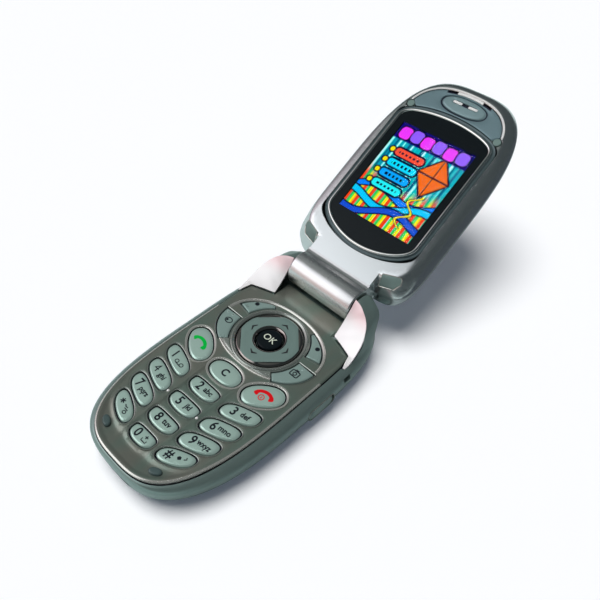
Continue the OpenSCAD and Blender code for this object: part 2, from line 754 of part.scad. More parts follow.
// Plan of the earpiece plate above the window
module plate_plan(grow) {
    difference() {
        translate([0, 62]) egg(17 + grow, 13.9 + grow, 8, 2.5, 3);
        window_outline(bezel_flange + 0.05 - grow);
        translate([-30, 40]) square([60, 20]);
        both_sides() translate([screw_x, screw_u]) circle(screw_cover_r + 0.25 - grow);
    }
}

module earpiece_plan(grow) {
    translate([0, 70.9]) egg(8 + grow, 3 + grow, 3 + grow, 2.3, 2.3);
}

module earpiece_plate() {
    color([0.5, 0.57, 0.58]) place_lid() difference() {
        translate([0, 0, lid_face - 0.65]) linear_extrude(0.75) plate_plan(0);
        translate([0, 0, lid_face - 2]) linear_extrude(4) earpiece_plan(0.25);
    }
}

module earpiece_insert() {
    color([0.5, 0.57, 0.58]) place_lid() difference() {
        translate([0, 0, lid_face - 0.65]) linear_extrude(0.75) earpiece_plan(0);
        translate([0, 0, lid_face - 2]) linear_extrude(4) bar(-4.4, 71.9, 4.4, 71.9, 0.45);
    }
}

module receiver() {
    color([0.3, 0.3, 0.3]) place_lid() translate([0, 69.7, -0.4]) linear_extrude(2.2)
        rounded_rect(11, 4.4, 1.8);
}

module flex_cable() {
    color([0.75, 0.5, 0.2]) place_lid() {
        translate([-9, 0, 0]) rotate([0, 90, 0]) cylinder(h = 6, r = 2.2);
        translate([-4.6, 0, -0.15]) cube([1.6, 16.5, 0.3]);
    }
}

module lid_screws() {
    color([0.55, 0.55, 0.57]) place_lid() both_sides() translate([screw_x, screw_u, 0]) {
        translate([0, 0, lid_face - 1.8]) cylinder(h = 0.75, r = 1.2);
        translate([0, 0, lid_parting - 0.9]) cylinder(h = lid_face - lid_parting - 0.9, r = 0.8);
    }
}

module screw_covers() {
    color([0.5, 0.57, 0.57]) place_lid() both_sides() translate([screw_x, screw_u, lid_face - 1])
        cylinder(h = 1.15, r = screw_cover_r);
}

// Pads that lie over the edge of the inner face, beside the neck. A negative lift
// gives the floor of their pockets.
module lid_bumper_plan(g) {
    polygon([[13.4 - g, 8.4 - g], [13.4 - g, 11.9 + g], [19, 13.8 + g], [19.5 + g, 13.2 + g],
             [19.6 + g, 12], [18.3 + g, 9.8 - g]]);
}

module lid_bumper_block(g) {
    translate([0, 0, -0.6]) linear_extrude(6) lid_bumper_plan(g);
}

module lid_bumpers() {
    color([0.45, 0.52, 0.51]) place_lid() both_sides() difference() {
        intersection() {
            lid_bumper_block(0);
            translate([0, -0.2, 0.2]) lid_form_front();
        }
        translate([0, 0.5, -0.55]) lid_form_front();
    }
}

module hinge_module() {
    color([0.6, 0.6, 0.62]) place_lid() difference() {
        translate([-1, 0, 0]) rotate([0, 90, 0]) cylinder(h = 12, r = barrel_bore - 0.03);
        for (a = [0, 180]) rotate([a, 0, 0]) translate([-2, 2.5, -0.4]) cube([14, 1, 0.8]);
    }
}

outer_u = 45;         // middle of the window in the lid's outer face

module outer_window_plan(grow) {
    egg(12.5 + grow, 15 + grow, 15 + grow, 2.6, 2.6);
}

module sub_display() {
    color([0.3, 0.4, 0.5]) place_lid() translate([0, outer_u - 4, lid_back + 1.25])
        linear_extrude(1.6) rounded_rect(17, 14, 0.8);
}

module outer_lens() {
    color([0.06, 0.07, 0.09]) place_lid() translate([0, outer_u, lid_back - 0.15])
        linear_extrude(1.1) outer_window_plan(0);
}

module camera_module() {
    color([0.1, 0.1, 0.12]) place_lid() translate([0, outer_u + 9.5, lid_back + 1.05])
        cylinder(h = 2.6, r = 2.6);
}

// ---- Drawing ----

lower_housing();
front_panel();
hinge_caps();
key_ring();
battery_cover();
battery_cell();
battery_contacts();
main_board();
board_shields();
dome_sheet();
keypad_mat();
base_bumpers();
base_screws();
microphone();
vibration_motor();
system_connector();
headset_jack();
hinge_pins();
antenna();
nav_gimbal();
nav_disc();
key_ok();
volume_key();
battery_latch();
jack_cover();
lid_frame();
lid_cover();
window_lens();
window_bezel();
lcd_module();
earpiece_plate();
earpiece_insert();
receiver();
flex_cable();
lid_screws();
screw_covers();
lid_bumpers();
hinge_module();
sub_display();
outer_lens();
camera_module();
for (k = KEYS) pad_key(k);
for (k = RING_KEYS) ring_key(k);
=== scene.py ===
"""Looks of a clamshell mobile phone that stands open on its back.

Sizes in the classes are millimetres of the part's own frame: X to the right, Y to the hinge,
Z up. Pieces of the lid are drawn flat, in the lid's own frame, and laid on it when finished.
"""

from __future__ import annotations

import json
import logging
from collections.abc import Callable, Sequence
from dataclasses import dataclass, field
from enum import Enum
from math import atan, atan2, copysign, cos, degrees, pi, radians, sin, sqrt

import bmesh  # noqa: E402
import bpy  # noqa: E402
import numpy as np  # noqa: E402
from mathutils import Matrix, Vector  # noqa: E402
from mathutils.geometry import delaunay_2d_cdt  # noqa: E402
from mathutils.kdtree import KDTree  # noqa: E402

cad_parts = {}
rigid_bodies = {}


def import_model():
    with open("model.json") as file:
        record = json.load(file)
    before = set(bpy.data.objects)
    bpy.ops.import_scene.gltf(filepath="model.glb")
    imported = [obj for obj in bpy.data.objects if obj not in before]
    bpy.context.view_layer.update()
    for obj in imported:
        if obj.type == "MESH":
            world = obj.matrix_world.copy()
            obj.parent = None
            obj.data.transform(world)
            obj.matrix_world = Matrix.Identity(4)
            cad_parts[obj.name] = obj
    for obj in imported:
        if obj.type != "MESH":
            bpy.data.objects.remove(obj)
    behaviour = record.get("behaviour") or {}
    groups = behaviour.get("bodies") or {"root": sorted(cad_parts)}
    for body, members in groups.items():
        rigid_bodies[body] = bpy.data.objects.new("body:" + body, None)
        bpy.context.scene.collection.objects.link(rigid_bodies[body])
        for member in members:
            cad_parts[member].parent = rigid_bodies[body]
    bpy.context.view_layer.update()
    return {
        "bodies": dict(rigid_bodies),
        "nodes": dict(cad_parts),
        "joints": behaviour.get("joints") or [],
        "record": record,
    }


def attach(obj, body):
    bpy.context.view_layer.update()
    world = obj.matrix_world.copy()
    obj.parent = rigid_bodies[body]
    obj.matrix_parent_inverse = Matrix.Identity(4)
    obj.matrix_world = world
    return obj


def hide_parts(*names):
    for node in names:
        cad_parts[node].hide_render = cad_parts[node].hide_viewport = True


LOG = logging.getLogger("phone")
MM = 0.001

Array = np.ndarray
Piece = bpy.types.Object
Socket = bpy.types.NodeSocket
Material = bpy.types.Material
Rows = Sequence[Sequence[float]]
Colour = tuple[float, float, float]
Point = tuple[float, float]
Height = Callable[[Array, Array], Array]


def smooth_step(value: Array | float, low: float, high: float) -> Array:
    """Rise from 0 at low to 1 at high, without a corner.

    Args:
        value: Where the step is read.
        low: Value at which it starts.
        high: Value at which it ends.

    Returns:
        The height of the step.
    """
    t = np.clip((np.asarray(value, float) - low) / (high - low), 0, 1)
    return t * t * (3 - 2 * t)


def bell(value: Array | float, centre: float, width: float) -> Array:
    """Return a soft bump of height 1 at the centre."""
    return np.exp(-(((np.asarray(value, float) - centre) / width) ** 2))


def even(points: Array, count: int, closed: bool = True) -> Array:
    """Return the same path as count points an equal distance apart.

    Args:
        points: Points, in order.
        count: How many points.
        closed: Whether the path is a loop.

    Returns:
        The points.
    """
    path = np.vstack([points, points[:1]]) if closed else np.asarray(points)
    run = np.concatenate([[0], np.cumsum(np.linalg.norm(np.diff(path, axis=0), axis=1))])
    at = np.linspace(0, run[-1], count, endpoint=not closed)
    return np.stack([np.interp(at, run, path[:, i]) for i in range(path.shape[1])], 1)


def smooth_path(points: Rows, count: int) -> Array:
    """Return count points of a Catmull-Rom curve through the given points.

    Args:
        points: Points, in order.
        count: How many points.

    Returns:
        The points.
    """
    given = np.asarray(points, float)
    held = np.vstack([2 * given[0] - given[1], given, 2 * given[-1] - given[-2]])
    spots = np.linspace(0, len(given) - 1 - 1e-9, count)
    first = spots.astype(int)
    t = (spots - first)[:, None]
    a, b, c, d = (held[first + k] for k in range(4))
    return 0.5 * (2 * b + (c - a) * t + (2 * a - 5 * b + 4 * c - d) * t**2 + (3 * b - a - 3 * c + d)
        * t**3)


def at(plan: Array, z: Array | float) -> Array:
    """Return points in plan at a height, or each at its own."""
    return np.c_[plan, np.broadcast_to(z, len(plan))]


def rounded_from_gap(points: Array, y: float) -> Array:
    """Return points in order of their angle about (0, y), from the far side of the widest gap.

    Args:
        points: Points, in order.
        y: Height of the middle.

    Returns:
        The points.
    """
    angle = np.arctan2(points[:, 1] - y, points[:, 0]) % (2 * pi)
    order = np.argsort(angle)
    split = int(np.argmax(np.diff(angle[order]))) + 1
    return points[np.roll(order, -split)]


def sides(path: Array, closed: bool) -> Array:
    """Return the unit vectors that point to the right of a path, one for each point.

    Args:
        path: Points of the path.
        closed: Whether the path is a loop.

    Returns:
        The points.
    """
    if closed:
        along = np.roll(path, -1, 0) - np.roll(path, 1, 0)
    else:
        along = np.vstack([path[1:], path[-1:]]) - np.vstack([path[:1], path[:-1]])
    along /= np.maximum(np.linalg.norm(along, axis=1), 1e-9)[:, None]
    return np.stack([along[:, 1], -along[:, 0]], 1)


def open_edges(faces: Sequence[Sequence[int]]) -> list[tuple[int, int]]:
    """Return the edges that only one face has, as that face runs."""
    used = {(f[i], f[(i + 1) % len(f)]): None for f in faces for i in range(len(f))}
    return [(a, b) for a, b in used if (b, a) not in used]


def nearest_of(points: Array) -> KDTree:
    """Return a tree that finds the nearest of points in plan.

    Args:
        points: Points, in order.

    Returns:
        The tree.
    """
    tree = KDTree(len(points))
    for i, (x, y) in enumerate(points):
        tree.insert((x, y, 0), i)
    tree.balance()
    return tree


def inside(points: Array, loop: Array) -> Array:
    """Say which points lie within a closed loop.

    Args:
        points: Points in plan.
        loop: Corners of the loop, in order.

    Returns:
        One truth value for each point.
    """
    x, y = points[:, 0, None], points[:, 1, None]
    a, b = loop, np.roll(loop, -1, 0)
    rise = b[:, 1] - a[:, 1]
    rise = np.where(np.abs(rise) < 1e-12, 1e-12, rise)
    crosses = (a[:, 1] > y) != (b[:, 1] > y)
    reach = (b[:, 0] - a[:, 0]) * (y - a[:, 1]) / rise + a[:, 0]
    return np.sum(crosses & (x < reach), axis=1) % 2 == 1


@dataclass(frozen=True)
class Egg:
    """Rounded outline with its own height and roundness above and below its centre line."""

    half_width: float
    up: float
    down: float
    n_up: float = 2.0
    n_down: float = 2.0
    slope: float = 0.0
    x: float = 0.0
    y: float = 0.0
    turn: float = 0.0

    def placed(self, x: Array, y: Array) -> Array:
        """Return points of the outline's own frame in the part's frame.

        Args:
            x: Places across.
            y: Places along.

        Returns:
            The points.
        """
        c, s = cos(radians(self.turn)), sin(radians(self.turn))
        y = y + self.slope * x
        return np.stack([self.x + c * x - s * y, self.y + s * x + c * y], 1)

    def outline(self, grow: float = 0.0, scale: float = 1.0, steps: int = 72) -> Array:
        """Return the outline as points an equal distance apart.

        Args:
            grow: How far outside the outline the points lie.
            scale: Share of the outline's size, about its centre.
            steps: Number of points.

        Returns:
            Points in plan, in order.
        """
        t = np.arange(720) * 2 * pi / 720
        c, s = np.cos(t), np.sin(t)
        n = np.where(s >= 0, self.n_up, self.n_down)
        high = np.where(s >= 0, self.up, self.down) + grow
        x = (self.half_width + grow) * scale * np.sign(c) * np.abs(c) ** (2 / n)
        y = high * scale * np.sign(s) * np.abs(s) ** (2 / n)
        return even(self.placed(x, y), steps)

    def level(self, x: Array, y: Array) -> Array:
        """Return 0 at the centre, 1 on the outline and more outside it.

        Args:
            x: Places across.
            y: Places along.

        Returns:
            One number for each point.
        """
        c, s = cos(radians(self.turn)), sin(radians(self.turn))
        dx, dy = x - self.x, y - self.y
        px = c * dx + s * dy
        py = -s * dx + c * dy - self.slope * px
        n = np.where(py >= 0, self.n_up, self.n_down)
        high = np.where(py >= 0, self.up, self.down)
        return (np.abs(px / self.half_width) ** n + np.abs(py / high) ** n) ** (1 / n)


# ---- Materials ----


class Wire:
    """Number that comes out of a node, with the usual signs of arithmetic."""

    def __init__(self, shader: Shader, socket: Socket) -> None:
        """Hold a socket of a shader."""
        self.shader, self.socket = shader, socket

    def combined(self, kind: str, *values: Wire | float) -> Wire:
        """Return the result of a Math node on these values."""
        made = self.shader.node("ShaderNodeMath", {"operation": kind}, dict(enumerate(values)))
        return Wire(self.shader, made.outputs[0])

    def __add__(self, other: Wire | float) -> Wire:
        """Add."""
        return self.combined("ADD", self, other)

    def __radd__(self, other: float) -> Wire:
        """Add to a number."""
        return self.combined("ADD", other, self)

    def __sub__(self, other: Wire | float) -> Wire:
        """Take away."""
        return self.combined("SUBTRACT", self, other)

    def __rsub__(self, other: float) -> Wire:
        """Take from a number."""
        return self.combined("SUBTRACT", other, self)

    def __mul__(self, other: Wire | float) -> Wire:
        """Multiply."""
        return self.combined("MULTIPLY", self, other)

    def __rmul__(self, other: float) -> Wire:
        """Multiply a number."""
        return self.combined("MULTIPLY", other, self)

    def step(self, low: float, high: float) -> Wire:
        """Return a rise from 0 at low to 1 at high.

        Args:
            low: Value at which it starts.
            high: Value at which it ends.

        Returns:
            The number.
        """
        made = self.shader.node("ShaderNodeMapRange", {"interpolation_type": "SMOOTHSTEP"},
            {"Value": self, "From Min": low, "From Max": high})
        return Wire(self.shader, made.outputs[0])


class Shader:
    """One material and its nodes."""

    def __init__(self, name: str) -> None:
        """Start a material with a plain surface.

        Args:
            name: Its name.
        """
        self.material = bpy.data.materials.new(name)
        self.material.use_nodes = True
        self.tree = self.material.node_tree
        self.surface = self.tree.nodes["Principled BSDF"]

    def node(self, kind: str, settings: dict, values: dict) -> bpy.types.Node:
        """Add a node.

        Args:
            kind: Type of the node.
            settings: Its settings, which are set first.
            values: A value, wire or socket for each input, by name or number.

        Returns:
            The node.
        """
        made = self.tree.nodes.new(kind)
        for key, value in settings.items():
            setattr(made, key, value)
        for key, value in values.items():
            self.join(made.inputs[key], value)
        return made

    def join(self, socket: Socket, value: object) -> None:
        """Give an input its value, or link it.

        Args:
            socket: The input.
            value: What it gets.
        """
        if isinstance(value, Wire):
            self.tree.links.new(value.socket, socket)
        elif isinstance(value, Socket):
            self.tree.links.new(value, socket)
        else:
            socket.default_value = value

    def put(self, **values: object) -> None:
        """Set the surface's inputs; an underscore stands for a space.

        Args:
            values: What each input gets.
        """
        for key, value in values.items():
            if isinstance(value, tuple) and len(value) == 3:
                value = (*value, 1.0)
            self.join(self.surface.inputs[key.replace("_", " ")], value)

    def place(self, scale: Sequence[float] = (1, 1, 1)) -> Socket:
        """Return Object coordinates, stretched along each axis.

        Args:
            scale: Stretch along each axis.

        Returns:
            The result.
        """
        where = self.node("ShaderNodeTexCoord", {}, {}).outputs["Object"]
        if tuple(scale) == (1, 1, 1):
            return where
        made = self.node("ShaderNodeMapping", {}, {"Vector": where, "Scale": scale})
        return made.outputs[0]

    def noise(self, size: float, detail: float = 2.0, stretch: Sequence[float] = (1, 1, 1)) -> Wire:
        """Return noise between 0 and 1 whose grains are size millimetres across.

        Args:
            size: Size of the grains.
            detail: Number of finer layers.
            stretch: Stretch along each axis.

        Returns:
            The number.
        """
        made = self.node("ShaderNodeTexNoise", {}, {"Vector": self.place(stretch),
            "Scale": 1 / (size * MM), "Detail": detail})
        return Wire(self, made.outputs[0])

    def height(self, low: float, high: float) -> Wire:
        """Return a rise from 0 at one height to 1 at another, in millimetres."""
        split = self.node("ShaderNodeSeparateXYZ", {}, {0: self.place()})
        return Wire(self, split.outputs["Z"]).step(low * MM, high * MM)

    def tinted(self, colour: Colour | Socket, tone: Wire) -> Socket:
        """Return a colour that is lighter or darker by a number."""
        made = self.node("ShaderNodeVectorMath", {"operation": "SCALE"}, {0: colour, "Scale": tone})
        return made.outputs[0]

    def mixed(self, share: Wire, low: Colour, high: Colour) -> Socket:
        """Return low where share is 0 and high where it is 1.

        Args:
            share: Share of the second colour.
            low: Colour where share is 0.
            high: Colour where share is 1.

        Returns:
            The result.
        """
        made = self.node("ShaderNodeMix", {"data_type": "RGBA"}, {})
        self.join(made.inputs["Factor"], share)
        self.join(made.inputs[6], (*low, 1.0))
        self.join(made.inputs[7], (*high, 1.0))
        return made.outputs[2]

    def finished(self, colour: Colour | Socket, tone: Wire, relief: Wire | None,
            depth: float, **values: object) -> Material:
        """Dress the surface and return the material.

        Args:
            colour: Its colour.
            tone: How much lighter or darker each place is.
            relief: Height of its texture, from 0 to 1, or nothing where it is smooth.
            depth: Depth of the texture in millimetres.
            values: The surface's other inputs.

        Returns:
            The material.
        """
        self.put(Base_Color=self.tinted(colour, tone), **values)
        if relief:
            made = self.node("ShaderNodeBump", {}, {"Height": relief, "Distance": depth * MM,
                "Strength": 1.0})
            self.put(Normal=made.outputs[0])
        return self.material


class Surroundings(Shader):
    """The world's nodes."""

    def __init__(self, name: str) -> None:
        """Start with an empty world.

        Args:
            name: Its name.
        """
        world = bpy.data.worlds.new(name)
        bpy.context.scene.world = world
        world.use_nodes = True
        self.tree = world.node_tree
        self.tree.nodes.clear()


@dataclass(frozen=True)
class MetalPaint:
    """Metallic lacquer on moulded plastic: flakes, orange peel and light handling marks. A second
    colour comes in random patches, or by height as a painted sheen.
    """

    colour: Colour
    metallic: float = 0.75
    roughness: float = 0.34
    flake: float = 0.1
    mottle: float = 0.07
    coat: float = 0.15
    relief: float = 0.004
    # Second colour: in random patches, or, with heights given, a painted sheen that rises with
    # height.
    warm: Colour | None = None
    painted_sheen_heights: Point | None = None

    def dress(self, name: str) -> Material:
        """Return the finish as a material.

        Args:
            name: Its name.

        Returns:
            The material.
        """
        s = Shader(name)
        flakes, cloud, wear = s.noise(0.16, 1.0), s.noise(6.0, 3.0), s.noise(1.1, 4.0)
        colour = self.colour
        # The second colour lies by height as a painted sheen where heights are given, else in
        # random patches.
        if self.warm:
            share = (s.height(*self.painted_sheen_heights) if self.painted_sheen_heights else s.noise(9.0, 2.0,
                (1.0, 0.35, 1.0)).step(0.35, 0.65))
            colour = s.mixed(share, colour, self.warm)
        tone = 1 + (flakes - 0.5) * (2 * self.flake) + (cloud - 0.5) * (2 * self.mottle)
        return s.finished(colour, tone, flakes * 0.6 + wear * 0.4, self.relief,
            Metallic=self.metallic, Coat_Weight=self.coat, Coat_Roughness=0.22,
            Roughness=self.roughness + (wear - 0.5) * (0.6 * self.flake) + (cloud - 0.5) * 0.02)


@dataclass(frozen=True)
class Moulded:
    """Plastic with the fine texture of its mould."""

    colour: Colour
    roughness: float = 0.5
    grain: float = 0.35
    depth: float = 0.012
    metallic: float = 0.0
    coat: float = 0.0

    def dress(self, name: str) -> Material:
        """Return the finish as a material.

        Args:
            name: Its name.

        Returns:
            The material.
        """
        s = Shader(name)
        texture, cloud = s.noise(self.grain, 2.0), s.noise(5.0, 3.0)
        tone = 1 + (cloud - 0.5) * 0.22 + (texture - 0.5) * 0.1
        return s.finished(self.colour, tone, texture, self.depth, Metallic=self.metallic,
            Coat_Weight=self.coat, Roughness=self.roughness + (cloud - 0.5) * 0.12)


@dataclass(frozen=True)
class Polished:
    """Plated or glossy surface with faint wiping marks."""

    colour: Colour
    metallic: float = 1.0
    roughness: float = 0.1
    marks: float = 0.08
    coat: float = 0.0

    def dress(self, name: str) -> Material:
        """Return the finish as a material.

        Args:
            name: Its name.

        Returns:
            The material.
        """
        s = Shader(name)
        wipe, haze = s.noise(1.6, 4.0, (1.0, 3.5, 1.0)), s.noise(9.0, 2.0)
        return s.finished(self.colour, 1 + (haze - 0.5) * 0.12, wipe, 0.0015,
            Roughness=self.roughness + (wipe - 0.5) * self.marks, Metallic=self.metallic,
            Coat_Weight=self.coat)


@dataclass(frozen=True)
class Gloss:
    """Black acrylic behind a hard coat, which shows little of the room."""

    colour: Colour
    roughness: float = 0.12
    specular: float = 0.14

    def dress(self, name: str) -> Material:
        """Return the finish as a material.

        Args:
            name: Its name.

        Returns:
            The material.
        """
        s = Shader(name)
        wipe = s.noise(2.2, 4.0, (1.0, 3.0, 1.0))
        return s.finished(self.colour, 1 + (wipe - 0.5) * 0.3, None, 0.0, Roughness=self.roughness
            + (wipe - 0.5) * 0.06, Specular_IOR_Level=self.specular)


@dataclass(frozen=True)
class Ink:
    """Printed ink, slightly uneven."""

    colour: Colour
    roughness: float = 0.45
    glow: float = 0.0

    def dress(self, name: str) -> Material:
        """Return the finish as a material.

        Args:
            name: Its name.

        Returns:
            The material.
        """
        s = Shader(name)
        blot = s.noise(0.5, 2.0)
        return s.finished(self.colour, 1 + (blot - 0.5) * 0.16, blot, 0.004,
            Roughness=self.roughness, Emission_Color=self.colour, Emission_Strength=self.glow)


@dataclass(frozen=True)
class Clear:
    """Clear acrylic."""

    roughness: float = 0.02

    def dress(self, name: str) -> Material:
        """Return the finish as a material.

        Args:
            name: Its name.

        Returns:
            The material.
        """
        s = Shader(name)
        haze = s.noise(7.0, 2.0)
        s.put(Base_Color=(0.96, 0.98, 1.0), Roughness=self.roughness + haze * 0.02,
            Transmission_Weight=1.0, Specular_IOR_Level=0.15, IOR=1.1)
        return s.material


@dataclass(frozen=True)
class Lit:
    """Lit picture, whose colours are an attribute of the mesh."""

    attribute: str = "picture"
    strength: float = 1.0

    def dress(self, name: str) -> Material:
        """Return the finish as a material.

        Args:
            name: Its name.

        Returns:
            The material.
        """
        s = Shader(name)
        tint = s.node("ShaderNodeAttribute", {"attribute_name": self.attribute}, {})
        s.put(Base_Color=(0.004, 0.004, 0.005), Roughness=0.3, Specular_IOR_Level=0.0,
            Emission_Color=tint.outputs["Color"], Emission_Strength=self.strength)
        return s.material


class Finish(Enum):
    """Every finish of the phone: the record's material slot and how it looks."""

    HOUSING = ("housing_grey", MetalPaint((0.26, 0.355, 0.335), 0.7, 0.34))
    PANEL = ("panel_brown", MetalPaint((0.25, 0.335, 0.285), 0.75, 0.32, 0.1, 0.08, 0.15, 0.004,
        (0.31, 0.325, 0.28)))
    SILVER = ("silver_plastic", MetalPaint((0.8, 0.83, 0.84), 0.97, 0.2, 0.02, 0.02, 0.1, 0.0004))
    # Caps: white, with a painted pink sheen rising from 16 to 20.5 mm height.
    CAP = ("silver_plastic", MetalPaint((0.95, 0.93, 0.94), 0.25, 0.22, 0.02, 0.02, 0.3, 0.0004,
        (0.94, 0.72, 0.75), (16, 20.5)))
    TRIM = ("bright_trim", Polished((0.9, 0.9, 0.88), 1.0, 0.12))
    DARK_CHROME = ("bright_trim", Polished((0.42, 0.38, 0.36), 1.0, 0.12))
    WHITE = ("bright_trim", MetalPaint((0.94, 0.94, 0.93), 0.3, 0.2, 0.02, 0.02, 0.2, 0.0006))
    COLLAR = ("bright_trim", MetalPaint((0.75, 0.75, 0.7), 0.75, 0.2, 0.02, 0.02, 0.1, 0.0006))
    BARREL = ("silver_plastic", MetalPaint((0.84, 0.84, 0.85), 0.95, 0.27, 0.02, 0.02, 0.05,
        0.0004))
    FOOT = ("bumper_rubber", Moulded((0.055, 0.085, 0.085), 0.35, 0.3, 0.006, 0.0, 0.3))
    FRAME = ("panel_brown", MetalPaint((0.5, 0.54, 0.5), 0.85, 0.24, 0.03, 0.03, 0.1, 0.001))
    KEY = ("key_silver", MetalPaint((0.56, 0.77, 0.69), 0.6, 0.23, 0.02, 0.02, 0.3, 0.0008))
    SIDE_KEY = ("key_silver", MetalPaint((0.3, 0.42, 0.39), 0.42, 0.26, 0.02, 0.02, 0.3, 0.0008))
    NAV = ("nav_grey", MetalPaint((0.27, 0.39, 0.36), 0.55, 0.24, 0.03, 0.03, 0.3, 0.001))
    BLACK = ("gloss_black", Gloss((0.006, 0.009, 0.011)))
    SHADOW = ("dark_rubber", Moulded((0.012, 0.014, 0.028), 0.6))
    # Darker copy of the housing paint: painted shade for the groove round the window.
    GROOVE = ("housing_grey", MetalPaint((0.1, 0.14, 0.15), 0.6, 0.36))
    BUMPER = ("bumper_rubber", Moulded((0.15, 0.22, 0.205), 0.4, 0.3, 0.006, 0.0, 0.2))
    RUBBER = ("dark_rubber", Moulded((0.09, 0.115, 0.11), 0.5))
    EAR_PLATE = ("plate_blue_grey", MetalPaint((0.17, 0.26, 0.29), 0.4, 0.33, 0.05, 0.04))
    EAR_INSERT = ("plate_blue_grey", MetalPaint((0.23, 0.34, 0.36), 0.4, 0.32, 0.05, 0.04))
    GLASS = ("window", Clear())
    PICTURE = ("display", Lit())
    DISPLAY_METAL = ("display", Moulded((0.35, 0.36, 0.37), 0.35, 0.3, 0.01, 0.8))
    CELL = ("cell", Moulded((0.1, 0.1, 0.12), 0.4))
    GOLD = ("contact_gold", Polished((0.85, 0.62, 0.25), 1.0, 0.2))
    BOARD = ("board_green", Moulded((0.03, 0.16, 0.07), 0.35, 0.8, 0.02, 0.0, 0.3))
    STEEL = ("steel", Polished((0.52, 0.53, 0.54), 1.0, 0.3, 0.2))
    PLASTIC = ("black_plastic", Moulded((0.02, 0.022, 0.024), 0.45))
    AMBER = ("flex_amber", Moulded((0.5, 0.24, 0.05), 0.3, 0.5, 0.01, 0.0, 0.4))
    INK = ("black_plastic", Ink((0.006, 0.009, 0.014)))
    GREEN_INK = ("black_plastic", Ink((0.0, 0.42, 0.05)))
    RED_INK = ("black_plastic", Ink((0.62, 0.004, 0.008)))
    PALE_INK = ("black_plastic", Ink((0.66, 0.72, 0.6)))

    @property
    def slot(self) -> str:
        """Return the record's slot."""
        return self.value[0]

    def material(self) -> Material:
        """Return the finish's material, made once."""
        name = self.name.lower()
        return bpy.data.materials.get(name) or self.value[1].dress(name)


# ---- Meshes ----


class Mesher:
    """Vertices and faces of one piece, in millimetres."""

    def __init__(self) -> None:
        """Start with nothing."""
        self.points: list[tuple[float, float, float]] = []
        self.faces: list[tuple[int, ...]] = []

    def row(self, points: Rows) -> list[int]:
        """Add points and return their numbers.

        Args:
            points: Points, in order.

        Returns:
            Their numbers.
        """
        start = len(self.points)
        self.points.extend(tuple(float(v) for v in p) for p in points)
        return list(range(start, len(self.points)))

    def bridge(self, low: list[int], high: list[int], closed: bool = True) -> None:
        """Join two rows of as many points with a strip of faces.

        Args:
            low: Numbers of one row.
            high: Numbers of the other.
            closed: Whether the path is a loop.
        """
        count = len(low)
        for i in range(count if closed else count - 1):
            j = (i + 1) % count
            self.faces.append((low[i], low[j], high[j], high[i]))

    def fan(self, ring: list[int], centre: Sequence[float]) -> None:
        """Close a ring with triangles to a centre.

        Args:
            ring: Numbers of the ring's points.
            centre: The middle.
        """
        tip = self.row([centre])[0]
        for i, a in enumerate(ring):
            self.faces.append((a, ring[(i + 1) % len(ring)], tip))

    def loft(self, rings: Sequence[Array], closed: bool = True, start: bool = False,
            end: bool = False) -> Mesher:
        """Join rings one after another.

        Args:
            rings: Rows of points in space, with as many points each.
            closed: Whether each row is a ring.
            start: Whether the first ring is closed with a fan.
            end: Whether the last ring is closed with a fan.

        Returns:
            The mesher itself.
        """
        rows = [self.row(r) for r in rings]
        for a, b in zip(rows, rows[1:]):
            self.bridge(a, b, closed)
        if start:
            self.fan(rows[0][::-1], np.mean(rings[0], axis=0))
        if end:
            self.fan(rows[-1], np.mean(rings[-1], axis=0))
        return self

    def add(self, other: Mesher) -> Mesher:
        """Take in another mesher's points and faces.

        Args:
            other: The other mesher.

        Returns:
            Its points and faces.
        """
        start = len(self.points)
        self.points.extend(other.points)
        self.faces.extend(tuple(i + start for i in f) for f in other.faces)
        return self

    def mirrored(self) -> Mesher:
        """Return a copy on the other side of the middle plane.

        Returns:
            Its points and faces.
        """
        made = Mesher()
        made.points = [(-x, y, z) for x, y, z in self.points]
        made.faces = [f[::-1] for f in self.faces]
        return made

    def mesh(self, name: str, place: Matrix | None = None, sharp: float = 38.0,
            outward: bool = True) -> bpy.types.Mesh:
        """Make the Blender mesh, in metres.

        Args:
            name: Name of the mesh.
            place: Where the piece's own frame lies in the part's frame.
            sharp: Angle in degrees above which an edge stays sharp.
            outward: False for open sheets, which then face up.

        Returns:
            The mesh.
        """
        data = bpy.data.meshes.new(name)
        data.from_pydata(self.points, [], self.faces)
        work = bmesh.new()
        work.from_mesh(data)
        bmesh.ops.remove_doubles(work, verts=work.verts, dist=1e-4)
        bmesh.ops.dissolve_degenerate(work, edges=work.edges, dist=1e-5)
        bmesh.ops.recalc_face_normals(work, faces=work.faces)
        if not outward:
            self.turn_up(work)
        work.transform(Matrix.Scale(MM, 4) @ (place or Matrix.Identity(4)))
        work.to_mesh(data)
        work.free()
        data.shade_smooth()
        data.set_sharp_from_angle(angle=radians(sharp))
        return data

    @staticmethod
    def turn_up(work: bmesh.types.BMesh) -> None:
        """Turn each separate sheet so that more of it faces up than down.

        Args:
            work: The mesh.
        """
        todo = set(work.faces)
        while todo:
            sheet, edge = set(), [todo.pop()]
            while edge:
                face = edge.pop()
                sheet.add(face)
                near = {f for e in face.edges for f in e.link_faces} & todo
                todo -= near
                edge.extend(near)
            if sum(f.normal.z * f.calc_area() for f in sheet) < 0:
                bmesh.ops.reverse_faces(work, faces=list(sheet))


def linked(name: str, data: bpy.types.Mesh, finish: Finish | None = None) -> Piece:
    """Put a mesh in the scene under this name, with its finish.

    Args:
        name: Its name.
        data: Its mesh.
        finish: Its finish.

    Returns:
        The piece.
    """
    made = bpy.data.objects.new(name, data)
    bpy.context.scene.collection.objects.link(made)
    if finish:
        made.data.materials.clear()
        made.data.materials.append(finish.material())
    return made


